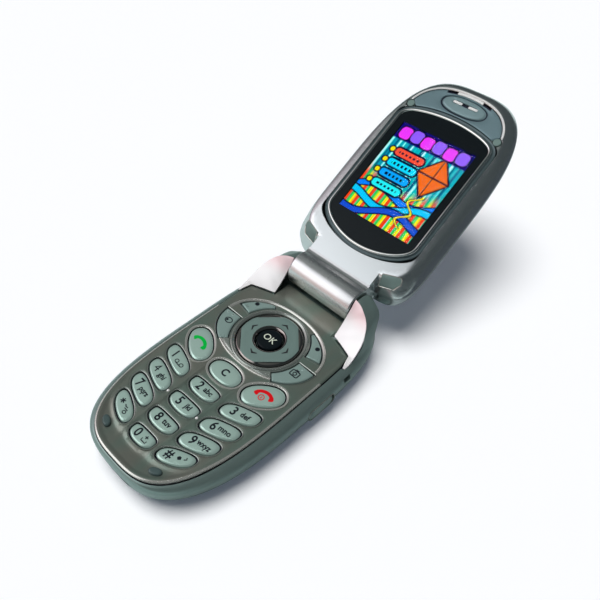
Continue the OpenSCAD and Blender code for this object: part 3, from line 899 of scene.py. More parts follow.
def settled(obj: Piece, sharp: float | None = 38.0) -> Piece:
    """Apply an object's modifiers to its mesh.

    Args:
        obj: The piece.
        sharp: Angle in degrees above which an edge stays sharp.

    Returns:
        The piece.
    """
    graph = bpy.context.evaluated_depsgraph_get()
    data = bpy.data.meshes.new_from_object(obj.evaluated_get(graph))
    data.name = obj.name
    obj.modifiers.clear()
    obj.data = data
    if sharp is not None:
        data.shade_smooth()
        data.set_sharp_from_angle(angle=radians(sharp))
    return obj


def carved(obj: Piece, tools: Sequence[Piece], kind: str = "DIFFERENCE",
        sharp: float = 38.0) -> Piece:
    """Cut tools out of a piece, and remove them.

    Args:
        obj: The piece.
        tools: Closed solids.
        kind: DIFFERENCE, UNION or INTERSECT.
        sharp: Angle in degrees above which an edge stays sharp.

    Returns:
        The piece.
    """
    for tool in tools:
        step = obj.modifiers.new("cut", "BOOLEAN")
        step.operation = kind
        step.solver = "MANIFOLD"
        step.object = tool
    settled(obj, sharp)
    for tool in tools:
        bpy.data.objects.remove(tool)
    return obj


def slab(outline: Array, low: float, high: float, place: Matrix | None = None) -> Piece:
    """Return a straight-walled solid between two heights, as a cutting tool."""
    made = Mesher().loft([at(outline, low), at(outline, high)], start=True, end=True)
    return linked("tool", made.mesh("tool", place))


def box_outline(x0: float, y0: float, x1: float, y1: float, radius: float = 0.0,
        steps: int = 5) -> Array:
    """Return a rectangle with rounded corners.

    Args:
        x0: Left edge.
        y0: Near edge.
        x1: Right edge.
        y1: Far edge.
        radius: Radius of the corners.
        steps: Number of points.

    Returns:
        The points.
    """
    if radius <= 0:
        return np.array([[x1, y0], [x1, y1], [x0, y1], [x0, y0]], float)
    corners = [(x1 - radius, y0 + radius, -90), (x1 - radius, y1 - radius, 0),
        (x0 + radius, y1 - radius, 90), (x0 + radius, y0 + radius, 180)]
    rows = []
    for cx, cy, first in corners:
        for i in range(steps + 1):
            a = radians(first + 90 * i / steps)
            rows.append((cx + radius * cos(a), cy + radius * sin(a)))
    return np.array(rows)


def circle(x: float, y: float, radius: float, steps: int = 40) -> Array:
    """Return a circle in plan."""
    a = np.arange(steps) * 2 * pi / steps
    return np.stack([x + radius * np.cos(a), y + radius * np.sin(a)], 1)


def swept(path: Array, profile: Sequence[Point], closed: bool = True) -> Mesher:
    """Carry a profile along a path in plan that runs anticlockwise.

    Args:
        path: Points of the path.
        profile: Points as distance outside the path and height.
        closed: Whether the path is a loop.

    Returns:
        The swept surface, with its ends closed where the path is open.
    """
    sections = [np.array([[*(p + n * d), z] for d, z in profile]) for p, n in zip(path,
        sides(path, closed))]
    made = Mesher()
    rows = [made.row(s) for s in sections]
    for a, b in zip(rows, rows[1:] + rows[:1] if closed else rows[1:]):
        made.bridge(a, b)
    if not closed:
        made.fan(rows[0][::-1], sections[0].mean(axis=0))
        made.fan(rows[-1], sections[-1].mean(axis=0))
    return made


class Plate:
    """Sheet cut from outlines in plan, raised by a height rule, with walls at its edges."""

    def __init__(self, height: Height, pitch: float) -> None:
        """Start a plate.

        Args:
            height: Height of the sheet at points in plan.
            pitch: Distance between the points inside it.
        """
        self.height = height
        self.pitch = pitch
        self.loops: list[tuple[Array, float | None, float]] = []
        self.borders: list[Array] = []
        self.openings: list[list[Array]] = []

    def border(self, loops: Sequence[tuple[Array, float]], floor: float) -> None:
        """Give the edge as nested loops from outside inwards, and the height its wall ends at.

        Args:
            loops: Points and height of each loop.
            floor: Height at which the wall ends.
        """
        for points, z in loops:
            self.loops.append((points, z, floor))
            self.borders.append(points)

    def opening(self, loops: Sequence[tuple[Array, float | None]], floor: float) -> None:
        """Give a hole as nested loops from its edge outwards, and its wall's lower end.

        Args:
            loops: Points, and how far below the plate's height they lie.
            floor: Height at which the hole's wall ends.
        """
        for points, drop in loops:
            z = None if drop is None else self.height(points[:, 0], points[:, 1]) - drop
            self.loops.append((points, z, floor))
        self.openings.append([points for points, _ in loops])

    def grid(self) -> Array:
        """Return the points inside the plate, clear of every loop.

        Returns:
            The points.
        """
        low, high = self.borders[0].min(axis=0), self.borders[0].max(axis=0)
        step = self.pitch
        rows = []
        for j, y in enumerate(np.arange(low[1], high[1], step * 0.87)):
            xs = np.arange(low[0] + (j % 2) * step / 2, high[0], step)
            rows.append(np.stack([xs, np.full(len(xs), y)], 1))
        points = np.vstack(rows)
        points = points[inside(points, self.borders[-1])]
        for loops in self.openings:
            points = points[~inside(points, loops[-1])]
        tree = nearest_of(np.vstack([p for p, *_ in self.loops]))
        free = [tree.find((x, y, 0))[2] > step * 0.45 for x, y in points]
        return points[np.array(free)]

    def mesher(self) -> Mesher:
        """Return the plate and its walls.

        Returns:
            Its points and faces.
        """
        coords: list[Point] = []
        heights: list[float] = []
        floors: list[float] = []
        edges: list[tuple[int, int]] = []
        for points, z, floor in self.loops:
            start, count = len(coords), len(points)
            zs = self.height(*points.T) if z is None else np.broadcast_to(z, count)
            coords.extend(map(tuple, points))
            heights.extend(map(float, zs))
            floors.extend([floor] * count)
            edges.extend((start + i, start + (i + 1) % count) for i in range(count))
        tree = nearest_of(np.array(coords))
        grid = self.grid()
        coords.extend(map(tuple, grid))
        heights.extend(map(float, self.height(*grid.T)))
        verts, _, faces, came_from, _, _ = delaunay_2d_cdt([Vector(c) for c in coords], edges, [],
            0, 1e-5, True)
        flat = np.array([tuple(v) for v in verts])
        middles = np.array([flat[list(f)].mean(axis=0) for f in faces])
        kept = inside(middles, self.borders[0])
        for loops in self.openings:
            kept &= ~inside(middles, loops[0])
        zs = [heights[ids[0]] if ids else float(self.height(*flat[i : i + 1].T)[0]) for i,
            ids in enumerate(came_from)]
        made = Mesher()
        made.row(at(flat, zs))
        made.faces = [tuple(f) for f, keep in zip(faces, kept) if keep]
        rim = open_edges(made.faces)
        low = {i: made.row([(*flat[i], floors[tree.find((*flat[i], 0))[1]])])[0]
            for i in dict.fromkeys(i for edge in rim for i in edge)}
        made.faces.extend((b, a, low[a], low[b]) for a, b in rim)
        return made


class Lettering:
    """Small printed signs that lie on a curved surface."""

    def __init__(self, surface: Height, lift: float = 0.03) -> None:
        """Start with no signs.

        Args:
            surface: Height of the surface that carries them.
            lift: How far the ink stands above it.
        """
        self.surface = surface
        self.lift = lift
        self.made = Mesher()

    def laid(self, points: Array, faces: Sequence[Sequence[int]]) -> None:
        """Lay a flat sign on the surface, in small faces that follow it.

        Args:
            points: Points, in order.
            faces: Corners of each face.
        """
        work = bmesh.new()
        corners = [work.verts.new((x, y, 0)) for x, y in points]
        for f in faces:
            work.faces.new([corners[i] for i in f])
        for _ in range(3):
            long = [e for e in work.edges if e.calc_length() > 0.5]
            bmesh.ops.subdivide_edges(work, edges=long, cuts=1)
        bmesh.ops.triangulate(work, faces=work.faces)
        work.verts.index_update()
        points = np.array([v.co[:2] for v in work.verts])
        part = Mesher()
        part.faces = [tuple(v.index for v in f.verts) for f in work.faces]
        work.free()
        z = self.surface(points[:, 0], points[:, 1]) + self.lift
        part.row(at(points, z))
        rim = open_edges(part.faces)
        low = {i: part.row([(*points[i], z[i] - 2.5 * self.lift)])[0] for i in sorted({a
            for e in rim for a in e})}
        part.faces.extend((b, a, low[a], low[b]) for a, b in rim)
        self.made.add(part)

    def text(self, words: str, size: float, x: float, y: float, turn: float = 0.0,
            weight: float = 0.03, squeeze: float = 1.0) -> None:
        """Print words centred at a place.

        Args:
            words: What is printed.
            size: Height of the type.
            x: Place of the middle.
            y: Place of the middle.
            turn: Angle of the line in degrees.
            weight: How much its strokes are thickened, as a share of its height.
            squeeze: Width of the type against its height.
        """
        curve = bpy.data.curves.new("type", "FONT")
        curve.body = words
        curve.size = size
        curve.align_x, curve.align_y = "CENTER", "CENTER"
        curve.resolution_u = 3
        curve.offset = weight * size
        holder = bpy.data.objects.new("type", curve)
        bpy.context.scene.collection.objects.link(holder)
        graph = bpy.context.evaluated_depsgraph_get()
        data = bpy.data.meshes.new_from_object(holder.evaluated_get(graph))
        flat = np.array([(v.co.x * squeeze, v.co.y) for v in data.vertices])
        faces = [tuple(p.vertices) for p in data.polygons]
        bpy.data.objects.remove(holder)
        bpy.data.meshes.remove(data)
        c, s = cos(radians(turn)), sin(radians(turn))
        placed = np.stack([x + c * flat[:, 0] - s * flat[:, 1], y + s * flat[:, 0] + c
            * flat[:, 1]], 1)
        normal = [np.cross([*(placed[f[1]] - placed[f[0]])], [*(placed[f[2]] - placed[f[0]])]) for f
            in faces]
        self.laid(placed, [f if n >= 0 else f[::-1] for f, n in zip(faces, normal)])

    def stroke(self, path: Sequence[Point], width: float, closed: bool = False) -> None:
        """Print a line of even width along a path.

        Args:
            path: Points of the path.
            width: Width of the line.
            closed: Whether the path is a loop.
        """
        line = np.asarray(path, float)
        out = sides(line, closed) * width / 2
        count = len(line)
        self.laid(np.vstack([line - out, line + out]), [((i + 1) % count, i, count + i,
            count + (i + 1) % count) for i in range(count if closed else count - 1)])

    def ring(self, x: float, y: float, wide: float, high: float, weight: float,
            pace: int = 24) -> None:
        """Print an oval line.

        Args:
            x: Place of its middle.
            y: Place of its middle.
            wide: Half its width.
            high: Half its height.
            weight: Width of the line.
            pace: Angle between its points in degrees.
        """
        self.stroke([(x + wide * cos(a), y + high * sin(a)) for a in np.radians(np.arange(0, 360,
            pace))], weight, closed=True)

    def spot(self, x: float, y: float, radius: float) -> None:
        """Print a round spot."""
        self.laid(circle(x, y, radius, 20), [tuple(range(20))])

    def shape(self, corners: Sequence[Point]) -> None:
        """Print a filled shape whose corners run anticlockwise."""
        self.laid(np.asarray(corners, float), [tuple(range(len(corners)))])

    def piece(self, name: str, finish: Finish, place: Matrix | None = None) -> Piece:
        """Return the signs as one object."""
        return linked(name, self.made.mesh(name, place, 30, outward=False), finish)


class Repeater:
    """Rows of one small shape, set out by Geometry Nodes."""

    def __init__(self, name: str = "rows_of_a_shape") -> None:
        """Build the tree, with named inputs for the pattern's sizes.

        Args:
            name: Its name.
        """
        self.tree = bpy.data.node_groups.new(name, "GeometryNodeTree")
        face = self.tree.interface
        self.sockets = {label: face.new_socket(label, in_out="INPUT", socket_type="NodeSocket"
            + kind).identifier for label, kind in (("Shape", "Object"), ("Columns", "Int"),
            ("Rows", "Int"), ("Width", "Float"), ("Length", "Float"), ("Finish", "Material"))}
        face.new_socket("Geometry", in_out="OUTPUT", socket_type="NodeSocketGeometry")
        made = {key: self.tree.nodes.new(kind) for key, kind in (("given", "NodeGroupInput"),
            ("result", "NodeGroupOutput"), ("grid", "GeometryNodeMeshGrid"),
            ("spots", "GeometryNodeMeshToPoints"), ("shape", "GeometryNodeObjectInfo"),
            ("copies", "GeometryNodeInstanceOnPoints"), ("real", "GeometryNodeRealizeInstances"),
            ("paint", "GeometryNodeSetMaterial"))}
        for source, output, target, socket in (("given", "Shape", "shape", "Object"),
                ("given", "Columns", "grid", "Vertices X"), ("given", "Rows", "grid", "Vertices Y"),
                ("given", "Width", "grid", "Size X"), ("given", "Length", "grid", "Size Y"),
                ("grid", "Mesh", "spots", "Mesh"), ("spots", "Points", "copies", "Points"),
                ("shape", "Geometry", "copies", "Instance"), ("copies", "Instances", "real",
                "Geometry"), ("real", "Geometry", "paint", "Geometry"), ("given", "Finish", "paint",
                "Material"), ("paint", "Geometry", "result", "Geometry")):
            self.tree.links.new(made[source].outputs[output], made[target].inputs[socket])

    def set_out(self, name: str, shape: Mesher, columns: int, rows: int, width: float,
            length: float, finish: Finish, place: Matrix) -> Piece:
        """Return rows of a shape as one plain mesh.

        Args:
            name: Name of the piece.
            shape: The shape, about its own origin, in millimetres.
            columns: How many along X.
            rows: How many along Y.
            width: Distance from the first column to the last, in millimetres.
            length: Distance from the first row to the last, in millimetres.
            finish: Its finish.
            place: Where the pattern's middle lies, in millimetres.

        Returns:
            The piece.
        """
        pattern = linked("pattern", shape.mesh("pattern"))
        holder = linked(name, bpy.data.meshes.new(name))
        step = holder.modifiers.new("rows", "NODES")
        step.node_group = self.tree
        values = {"Shape": pattern, "Columns": columns, "Rows": rows, "Width": width * MM,
            "Length": length * MM, "Finish": finish.material()}
        for label, value in values.items():
            step[self.sockets[label]] = value
        settled(holder)
        bpy.data.objects.remove(pattern)
        holder.data.transform(Matrix.Scale(MM, 4) @ place @ Matrix.Scale(1 / MM, 4))
        if not holder.data.materials:
            holder.data.materials.append(finish.material())
        return holder


@dataclass
class SubAssembly:
    """Pieces that are built and dressed together."""

    pieces: list[Piece] = field(default_factory=list, init=False)

    def keep(self, obj: Piece, body: str, finish: Finish, *stands_for: str) -> Piece:
        """Fix a finished piece to its body.

        Args:
            obj: The piece.
            body: Body of the frame that carries it.
            finish: Not used.
            stands_for: Nodes of the frame that it replaces.

        Returns:
            The piece.
        """
        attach(obj, body)
        if stands_for:
            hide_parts(*stands_for)
        self.pieces.append(obj)
        LOG.info("%s rides on %s, %d faces", obj.name, body, len(obj.data.polygons))
        return obj

    def piece(self, name: str, made: Mesher, finish: Finish, body: str, *stands_for: str,
            sharp: float = 38.0, outward: bool = True) -> Piece:
        """Make a piece from a mesher, and fix it to its body.

        Args:
            name: Its name.
            made: Its points and faces, in the lid's own frame where the lid carries it.
            finish: Its finish.
            body: Body of the frame that carries it.
            stands_for: Nodes of the frame that it replaces.
            sharp: Angle in degrees above which an edge stays sharp.
            outward: False for open sheets, which then face up.

        Returns:
            The piece.
        """
        data = made.mesh(name, LID if body == "lid" else None, sharp, outward)
        return self.keep(linked(name, data, finish), body, finish, *stands_for)


# ---- Base ----

PANEL_TOP = 12.6
HINGE_Y = 38.7
HINGE_Z = 16.9
KNUCKLE_X = 12.8
BARREL_R = 5.7
NAV_Y = 13.0
MIDDLE_Y = 3.0

LID = (Matrix.Translation((0, HINGE_Y, HINGE_Z)) @ Matrix.Rotation(radians(29), 4, "X"))


def panel_egg(grow: float = 0.0) -> Egg:
    """Return the outline of the key panel."""
    return Egg(21.8 + grow, 41.3, 45.2 + grow, 3.8, 3.1, y=MIDDLE_Y)


def panel_height(x: Array, y: Array) -> Array:
    """Return the height of the key panel's top face.

    Args:
        x: Places across.
        y: Places along.

    Returns:
        One number for each point.
    """
    z = np.full(np.shape(x), PANEL_TOP, float)
    edge = (1 - panel_egg().level(x, y)) * 24
    low_end = smooth_step(-y, 22, 35)
    scoop = 0.85 * bell(edge, 3.3, 2.2) * low_end
    near = np.zeros(np.shape(x))
    for key in KEYS[-3:]:
        near = np.maximum(near, 1 - smooth_step(key.egg.level(x, y), 1.05, 1.8))
    z = z - scoop * (1 - 0.85 * near)
    z = z - 0.35 * smooth_step(np.abs(x), 15.5, 21.5) * (1 - low_end)
    ridge = 6.3 - 0.03 * (-4 - y)
    along = smooth_step(-y, 3.5, 8) * (1 - smooth_step(-y, 35, 38.5))
    z = z + along * (0.2 * bell(np.abs(x), ridge, 0.5) - 0.12 * (1 - smooth_step(np.abs(x),
        ridge - 0.9, ridge)))
    z = z - 0.75 * smooth_step(y, 25.8, 33.5)
    return z


@dataclass(frozen=True)
class Key:
    """One key of the pad: its outline and what is printed on it."""

    name: str
    egg: Egg
    digit: str = ""
    letters: str = ""
    proud: float = 0.3
    crown: float = 0.2
    edge_drop: float = 0.42

    def height(self, x: Array, y: Array) -> Array:
        """Return the height of the key's crowned top.

        Args:
            x: Places across.
            y: Places along.

        Returns:
            One number for each point.
        """
        level = self.egg.level(x, y)
        z = PANEL_TOP + self.proud - self.crown * level**2
        return z - self.edge_drop * np.clip((level - 0.8) / 0.2, 0, 1) ** 2.4

    def body(self) -> Mesher:
        """Return the key's crowned top and its sides.

        Returns:
            Its points and faces.
        """
        rings = []
        for share in (0.99, 0.978, 0.96, 0.94, 0.91, 0.87, 0.82, 0.7, 0.5, 0.25):
            plan = self.egg.outline(scale=share, steps=72)
            rings.append(np.c_[plan, self.height(plan[:, 0], plan[:, 1])])
        rim = self.egg.outline(scale=0.99, steps=72)
        foot = at(rim, PANEL_TOP - 1.2)
        return Mesher().loft([foot, *rings], start=True, end=True)


KEYS = [
    Key("key_send", Egg(6.2, 3.75, 3.5, 2.3, 2.3, 0, -13.4, -2.45, -38)),
    Key("key_end", Egg(6.2, 3.75, 3.5, 2.3, 2.3, 0, 13.4, -2.45, 38)),
    Key("key_clear", Egg(5.5, 3.3, 3.2, 2.3, 2.3, 0, 0, -4.5, 0)),
    Key("key_1", Egg(5.4, 2.5, 2.6, 2.8, 2.6, -0.32, -13.25, -10.85, 0), "1", "oo"),
    Key("key_2", Egg(5.05, 1.75, 2.75, 4.4, 2.5, 0, 0, -12.1, 0), "2", "abc"),
    Key("key_3", Egg(5.4, 2.5, 2.6, 2.8, 2.6, 0.32, 13.25, -10.85, 0), "3", "def"),
    Key("key_4", Egg(5.3, 2.5, 2.6, 2.8, 2.6, -0.32, -12.85, -17.65, 0), "4", "ghi"),
    Key("key_5", Egg(5.05, 1.75, 2.75, 4.4, 2.5, 0, 0, -19.15, 0), "5", "jkl"),
    Key("key_6", Egg(5.3, 2.5, 2.6, 2.8, 2.6, 0.32, 12.85, -17.65, 0), "6", "mno"),
    Key("key_7", Egg(5.2, 2.5, 2.65, 2.8, 2.5, -0.34, -12.25, -24.25, 0), "7", "pqrs"),
    Key("key_8", Egg(4.9, 1.75, 2.7, 4.4, 2.5, 0, 0, -26.3, 0), "8", "tuv"),
    Key("key_9", Egg(5.2, 2.5, 2.65, 2.8, 2.5, 0.34, 12.25, -24.25, 0), "9", "wxyz"),
    Key("key_star", Egg(4.7, 2.25, 2.7, 2.6, 2.3, -0.42, -11.15, -30.8, 0), "*"),
    Key("key_0", Egg(4.2, 1.7, 2.5, 4, 2.4, 0, 0, -32.95, 0), "0"),
    Key("key_hash", Egg(4.7, 2.25, 2.7, 2.6, 2.3, 0.42, 11.15, -30.8, 0), "#"),
]


@dataclass
class BaseShell(SubAssembly):
    """Lower housing with its hinge knuckles, cut for the panel, the hinge and the sides."""

    half_width: float = 25.0
    front: float = 46.3
    rear: float = 41.3
    voxel: float = 0.42
    slices: tuple[tuple[float, float, float, float], ...] = ((0, 6.5, 6.5, 2.6), (0.8, 4.2, 4, 2.6),
        (2.2, 2.1, 2.1, 2.7), (4, 1, 1, 2.8), (6, 0.3, 0.3, 2.9), (8.5, 0, 0, 3),
        (10.2, 0.4, 0.1, 3.2), (11.2, 1.2, 0.2, 3.2), (12, 2.7, 0.5, 3.2))
    cap_edge: tuple[tuple[float, float, float], ...] = ((12.8, 36.25, 22), (15, 35.7, 21.8),
        (17, 34.75, 21.2), (18.7, 33.9, 20.1), (20.1, 32.7, 18.8), (21.1, 31.2, 17.5),
        (21.95, 29.4, 16), (22.4, 27.3, 14.6), (22.65, 25.1, 13.3), (22.8, 22.8, 12.3),
        (22.7, 20.9, 11.7))
    cap_foot: tuple[tuple[float, float, float], ...] = ((12.8, 27.5, 12.6), (20.8, 24.9, 12.6),
        (21.8, 20.5, 12.2))

    def section(self, z: float, grow: float = 0.0, steps: int = 200) -> Array:
        """Return the outline of the base at a height.

        Args:
            z: The height.
            grow: Distance outside the outline.
            steps: Number of points.

        Returns:
            The points.
        """
        table = np.array(self.slices)
        side, end, n = (np.interp(z, table[:, 0], table[:, i]) for i in (1, 2, 3))
        egg = Egg(self.half_width - side + grow, self.rear - end + grow, self.front - end + grow,
            3.8, float(n), y=MIDDLE_Y)
        return np.c_[egg.outline(steps=steps), np.full(steps, z)]

    def knuckle(self) -> Mesher:
        """Return one knuckle as the skin over its edges.

        Returns:
            Its points and faces.
        """
        edge = smooth_path(self.cap_edge, 50)
        edge = edge - np.array([0.25, 0, 0.3])
        edge[:, 0] = np.maximum(edge[:, 0], KNUCKLE_X)
        foot = np.array(self.cap_foot) - np.array([0.25, 0, 0.3])
        foot[:, 0] = np.maximum(foot[:, 0], KNUCKLE_X)
        points = [*edge, *foot]
        for x, r in ((KNUCKLE_X, 4.8), (13.6, 4.8), (15.5, 3.9), (18, 2.9), (19.4, 1.6)):
            ring = circle(HINGE_Y, HINGE_Z if x < 16 else HINGE_Z - 0.2, r, 40)
            points.extend(np.c_[np.full(40, x), ring])
        low = Egg(24.5, 40.9, 10, 3.8, 3, y=MIDDLE_Y).outline(steps=300)
        low = low[(low[:, 0] > KNUCKLE_X) & (low[:, 1] > 24)]
        points.extend(at(low, 8.6))
        points.extend([(KNUCKLE_X, low[:, 1].max(), 8.6), (KNUCKLE_X, 24, 8.6)])
        work = bmesh.new()
        for p in points:
            work.verts.new(p)
        bmesh.ops.convex_hull(work, input=work.verts)
        work.verts.index_update()
        made = Mesher()
        made.row([tuple(v.co) for v in work.verts])
        made.faces = [tuple(v.index for v in f.verts) for f in work.faces]
        work.free()
        return made

    def cap_plan(self, grow: float = 0.0) -> Array:
        """Return the plan of the silver cap.

        Args:
            grow: Distance outside the outline.

        Returns:
            The points.
        """
        edge = smooth_path(self.cap_edge, 40)[:, :2]
        points = [*edge, (21.9, 20.2), (21.8, 20.8), (20.8, 24.9), (12.8, 27.5)]
        plan = np.array(points)
        middle = np.array([17.5, 29.5])
        return plan + (plan - middle) / np.linalg.norm(plan - middle, axis=1)[:, None] * grow

    def barrel_room(self) -> list[Piece]:
        """Return the tools that make room for the barrel and the swinging lid.

        Returns:
            The tools.
        """
        across = Matrix.Translation((-KNUCKLE_X, HINGE_Y,
            HINGE_Z)) @ Matrix.Rotation(radians(90), 4, "Y")
        span = 2 * KNUCKLE_X
        return [slab(circle(0, 0, 6.0, 72), 0, span, across), slab(circle(0, 0, 6.4, 72)[:37], 0,
            span, across), slab(box_outline(-KNUCKLE_X, 0, KNUCKLE_X, 14), -6.4, 10, place=LID),
            slab(box_outline(-KNUCKLE_X, HINGE_Y - 4, KNUCKLE_X, HINGE_Y + 8), HINGE_Z, 27)]

    def openings(self) -> list[Piece]:
        """Return the tools for the panel's pocket and for everything in the sides.

        Returns:
            The tools.
        """
        pocket = panel_egg(0.24).outline(steps=240) + np.array([0.16, 0])
        cap = self.cap_plan(0.12)
        right = Matrix.Translation((22.2, 9, 7)) @ Matrix.Rotation(radians(90), 4, "Y")
        left = Matrix.Translation((-22.6, 9, 6.2)) @ Matrix.Rotation(radians(-90), 4, "Y")
        cuts = [(pocket[pocket[:, 1] < 27.5], 11.0, 30), (box_outline(-KNUCKLE_X, 27, KNUCKLE_X,
            39), 11.0, 22), (box_outline(-17, -33, 17, 27, 4), 7.5, 12), (cap, 10.9, 30),
            ((cap * np.array([-1, 1]))[::-1], 10.9, 30), (box_outline(-16.7, -24.7, 16.7, 25.7,
            4.1), -1, 1.3), (box_outline(-5.65, 26.55, 5.65, 32.25, 1.1), -1, 1.45),
            (box_outline(-1.85, -4.85, 1.85, 5.45, 1.3), 0, 6, right), (box_outline(-1.95, -6.8,
            1.95, 6.8, 1.7), 0, 6, left), (box_outline(22, 19, 28, 21.8, 0.5), 8.2, 10.1),
            (box_outline(-6.5, -48, 6.5, -37.5), 5.9, 8.5)]
        cuts += [(circle(x, y, 1.5, 28), -1, 2) for x, y in ((15, 30.2), (-15, 30.2), (10.5, -31),
            (-10.5, -31))]
        return [slab(*cut) for cut in cuts]

    def build(self) -> None:
        """Build the housing: skin, blended knuckles, openings."""
        heights = [0, 0.25, 0.8, 1.5, 2.2, 3.1, 4, 5, 6, 7.2, 8.5, 9.4, 10.2, 10.8, 11.2, 11.65, 12]
        solid = Mesher().loft([self.section(z) for z in heights], start=True, end=True)
        skin = linked("lower_housing", solid.mesh("skin"), Finish.HOUSING)
        right = self.knuckle()
        for part in (right, right.mirrored()):
            work = linked("knuckle", part.mesh("knuckle"))
            carved(skin, [work], "UNION")
        melt = skin.modifiers.new("melt", "REMESH")
        melt.mode = "VOXEL"
        melt.voxel_size = self.voxel * MM
        calm = skin.modifiers.new("calm", "SMOOTH")
        calm.factor, calm.iterations = 0.5, 20
        settled(skin, None)
        for tool in self.barrel_room() + self.openings():
            carved(skin, [tool], sharp=32)
        skin.name = "lower_housing_skin"
        skin.data.materials.clear()
        skin.data.materials.append(Finish.HOUSING.material())
        self.keep(skin, "base", Finish.HOUSING, "lower_housing")

    def cleared(self, points: Array) -> Array:
        """Return points of a cap, lowered where the closed lid comes down on it.

        Args:
            points: Points, in order.

        Returns:
            The points.
        """
        lid = LidShell()
        plan = np.stack([points[:, 0], HINGE_Y - points[:, 1]], 1)
        low = HINGE_Z - lid.edge_height(plan) - 0.55
        out = lid_slice(*lid.front[0][1:]).level(plan[:, 0], plan[:, 1])
        low = low + 45 * np.clip(out - 1, 0, None)
        over = np.clip((points[:, 2] - low + 0.35) / 0.7, 0, 1)
        soft = np.where(points[:, 2] > low + 0.35, low, points[:, 2] - 0.35 * over**2)
        return np.c_[points[:, :2], soft]

    def caps(self) -> None:
        """Build the two silver caps as bulged sails between their edges."""
        steps = 48
        outer = smooth_path(self.cap_edge, steps)
        top = np.array(self.cap_edge[0])
        inner_run = [top, (12.8, 34.3, 19.4), (12.8, 31.6, 16.3), (12.8, 29.2, 14),
            (12.8, 27.5, 12.72), (16.5, 26.45, 12.7), (20.8, 24.9, 12.68), (21.5, 22.6, 12.5),
            (22.2, 20.7, 11.9)]
        inner = even(np.array(inner_run), steps, closed=False)
        outer = even(outer, steps, closed=False)
        rows = []
        count = 13
        for k in range(count):
            t = k / (count - 1)
            row = inner * (1 - t) + outer * t
            width = np.linalg.norm(outer - inner, axis=1)
            lift = 0.02 * width * sin(pi * t)
            out = np.stack([0.35 * np.ones(steps), -0.45 * np.ones(steps), np.ones(steps)], 1)
            out /= np.linalg.norm(out[0])
            rows.append(row + out * lift[:, None])
        rows.append(outer + np.array([0.12, 0.15, -0.25]))
        rows.append(outer + np.array([-0.1, 0.4, -0.9]))
        rows.insert(0, inner + np.array([0.0, 0.1, -0.5]))
        rows.insert(0, inner + np.array([0.3, 0.3, -1.1]))
        right = Mesher().loft([self.cleared(row) for row in rows], closed=False)
        both = Mesher().add(right).add(right.mirrored())
        self.piece("silver_caps", both, Finish.CAP, "base", "hinge_caps", sharp=50, outward=False)


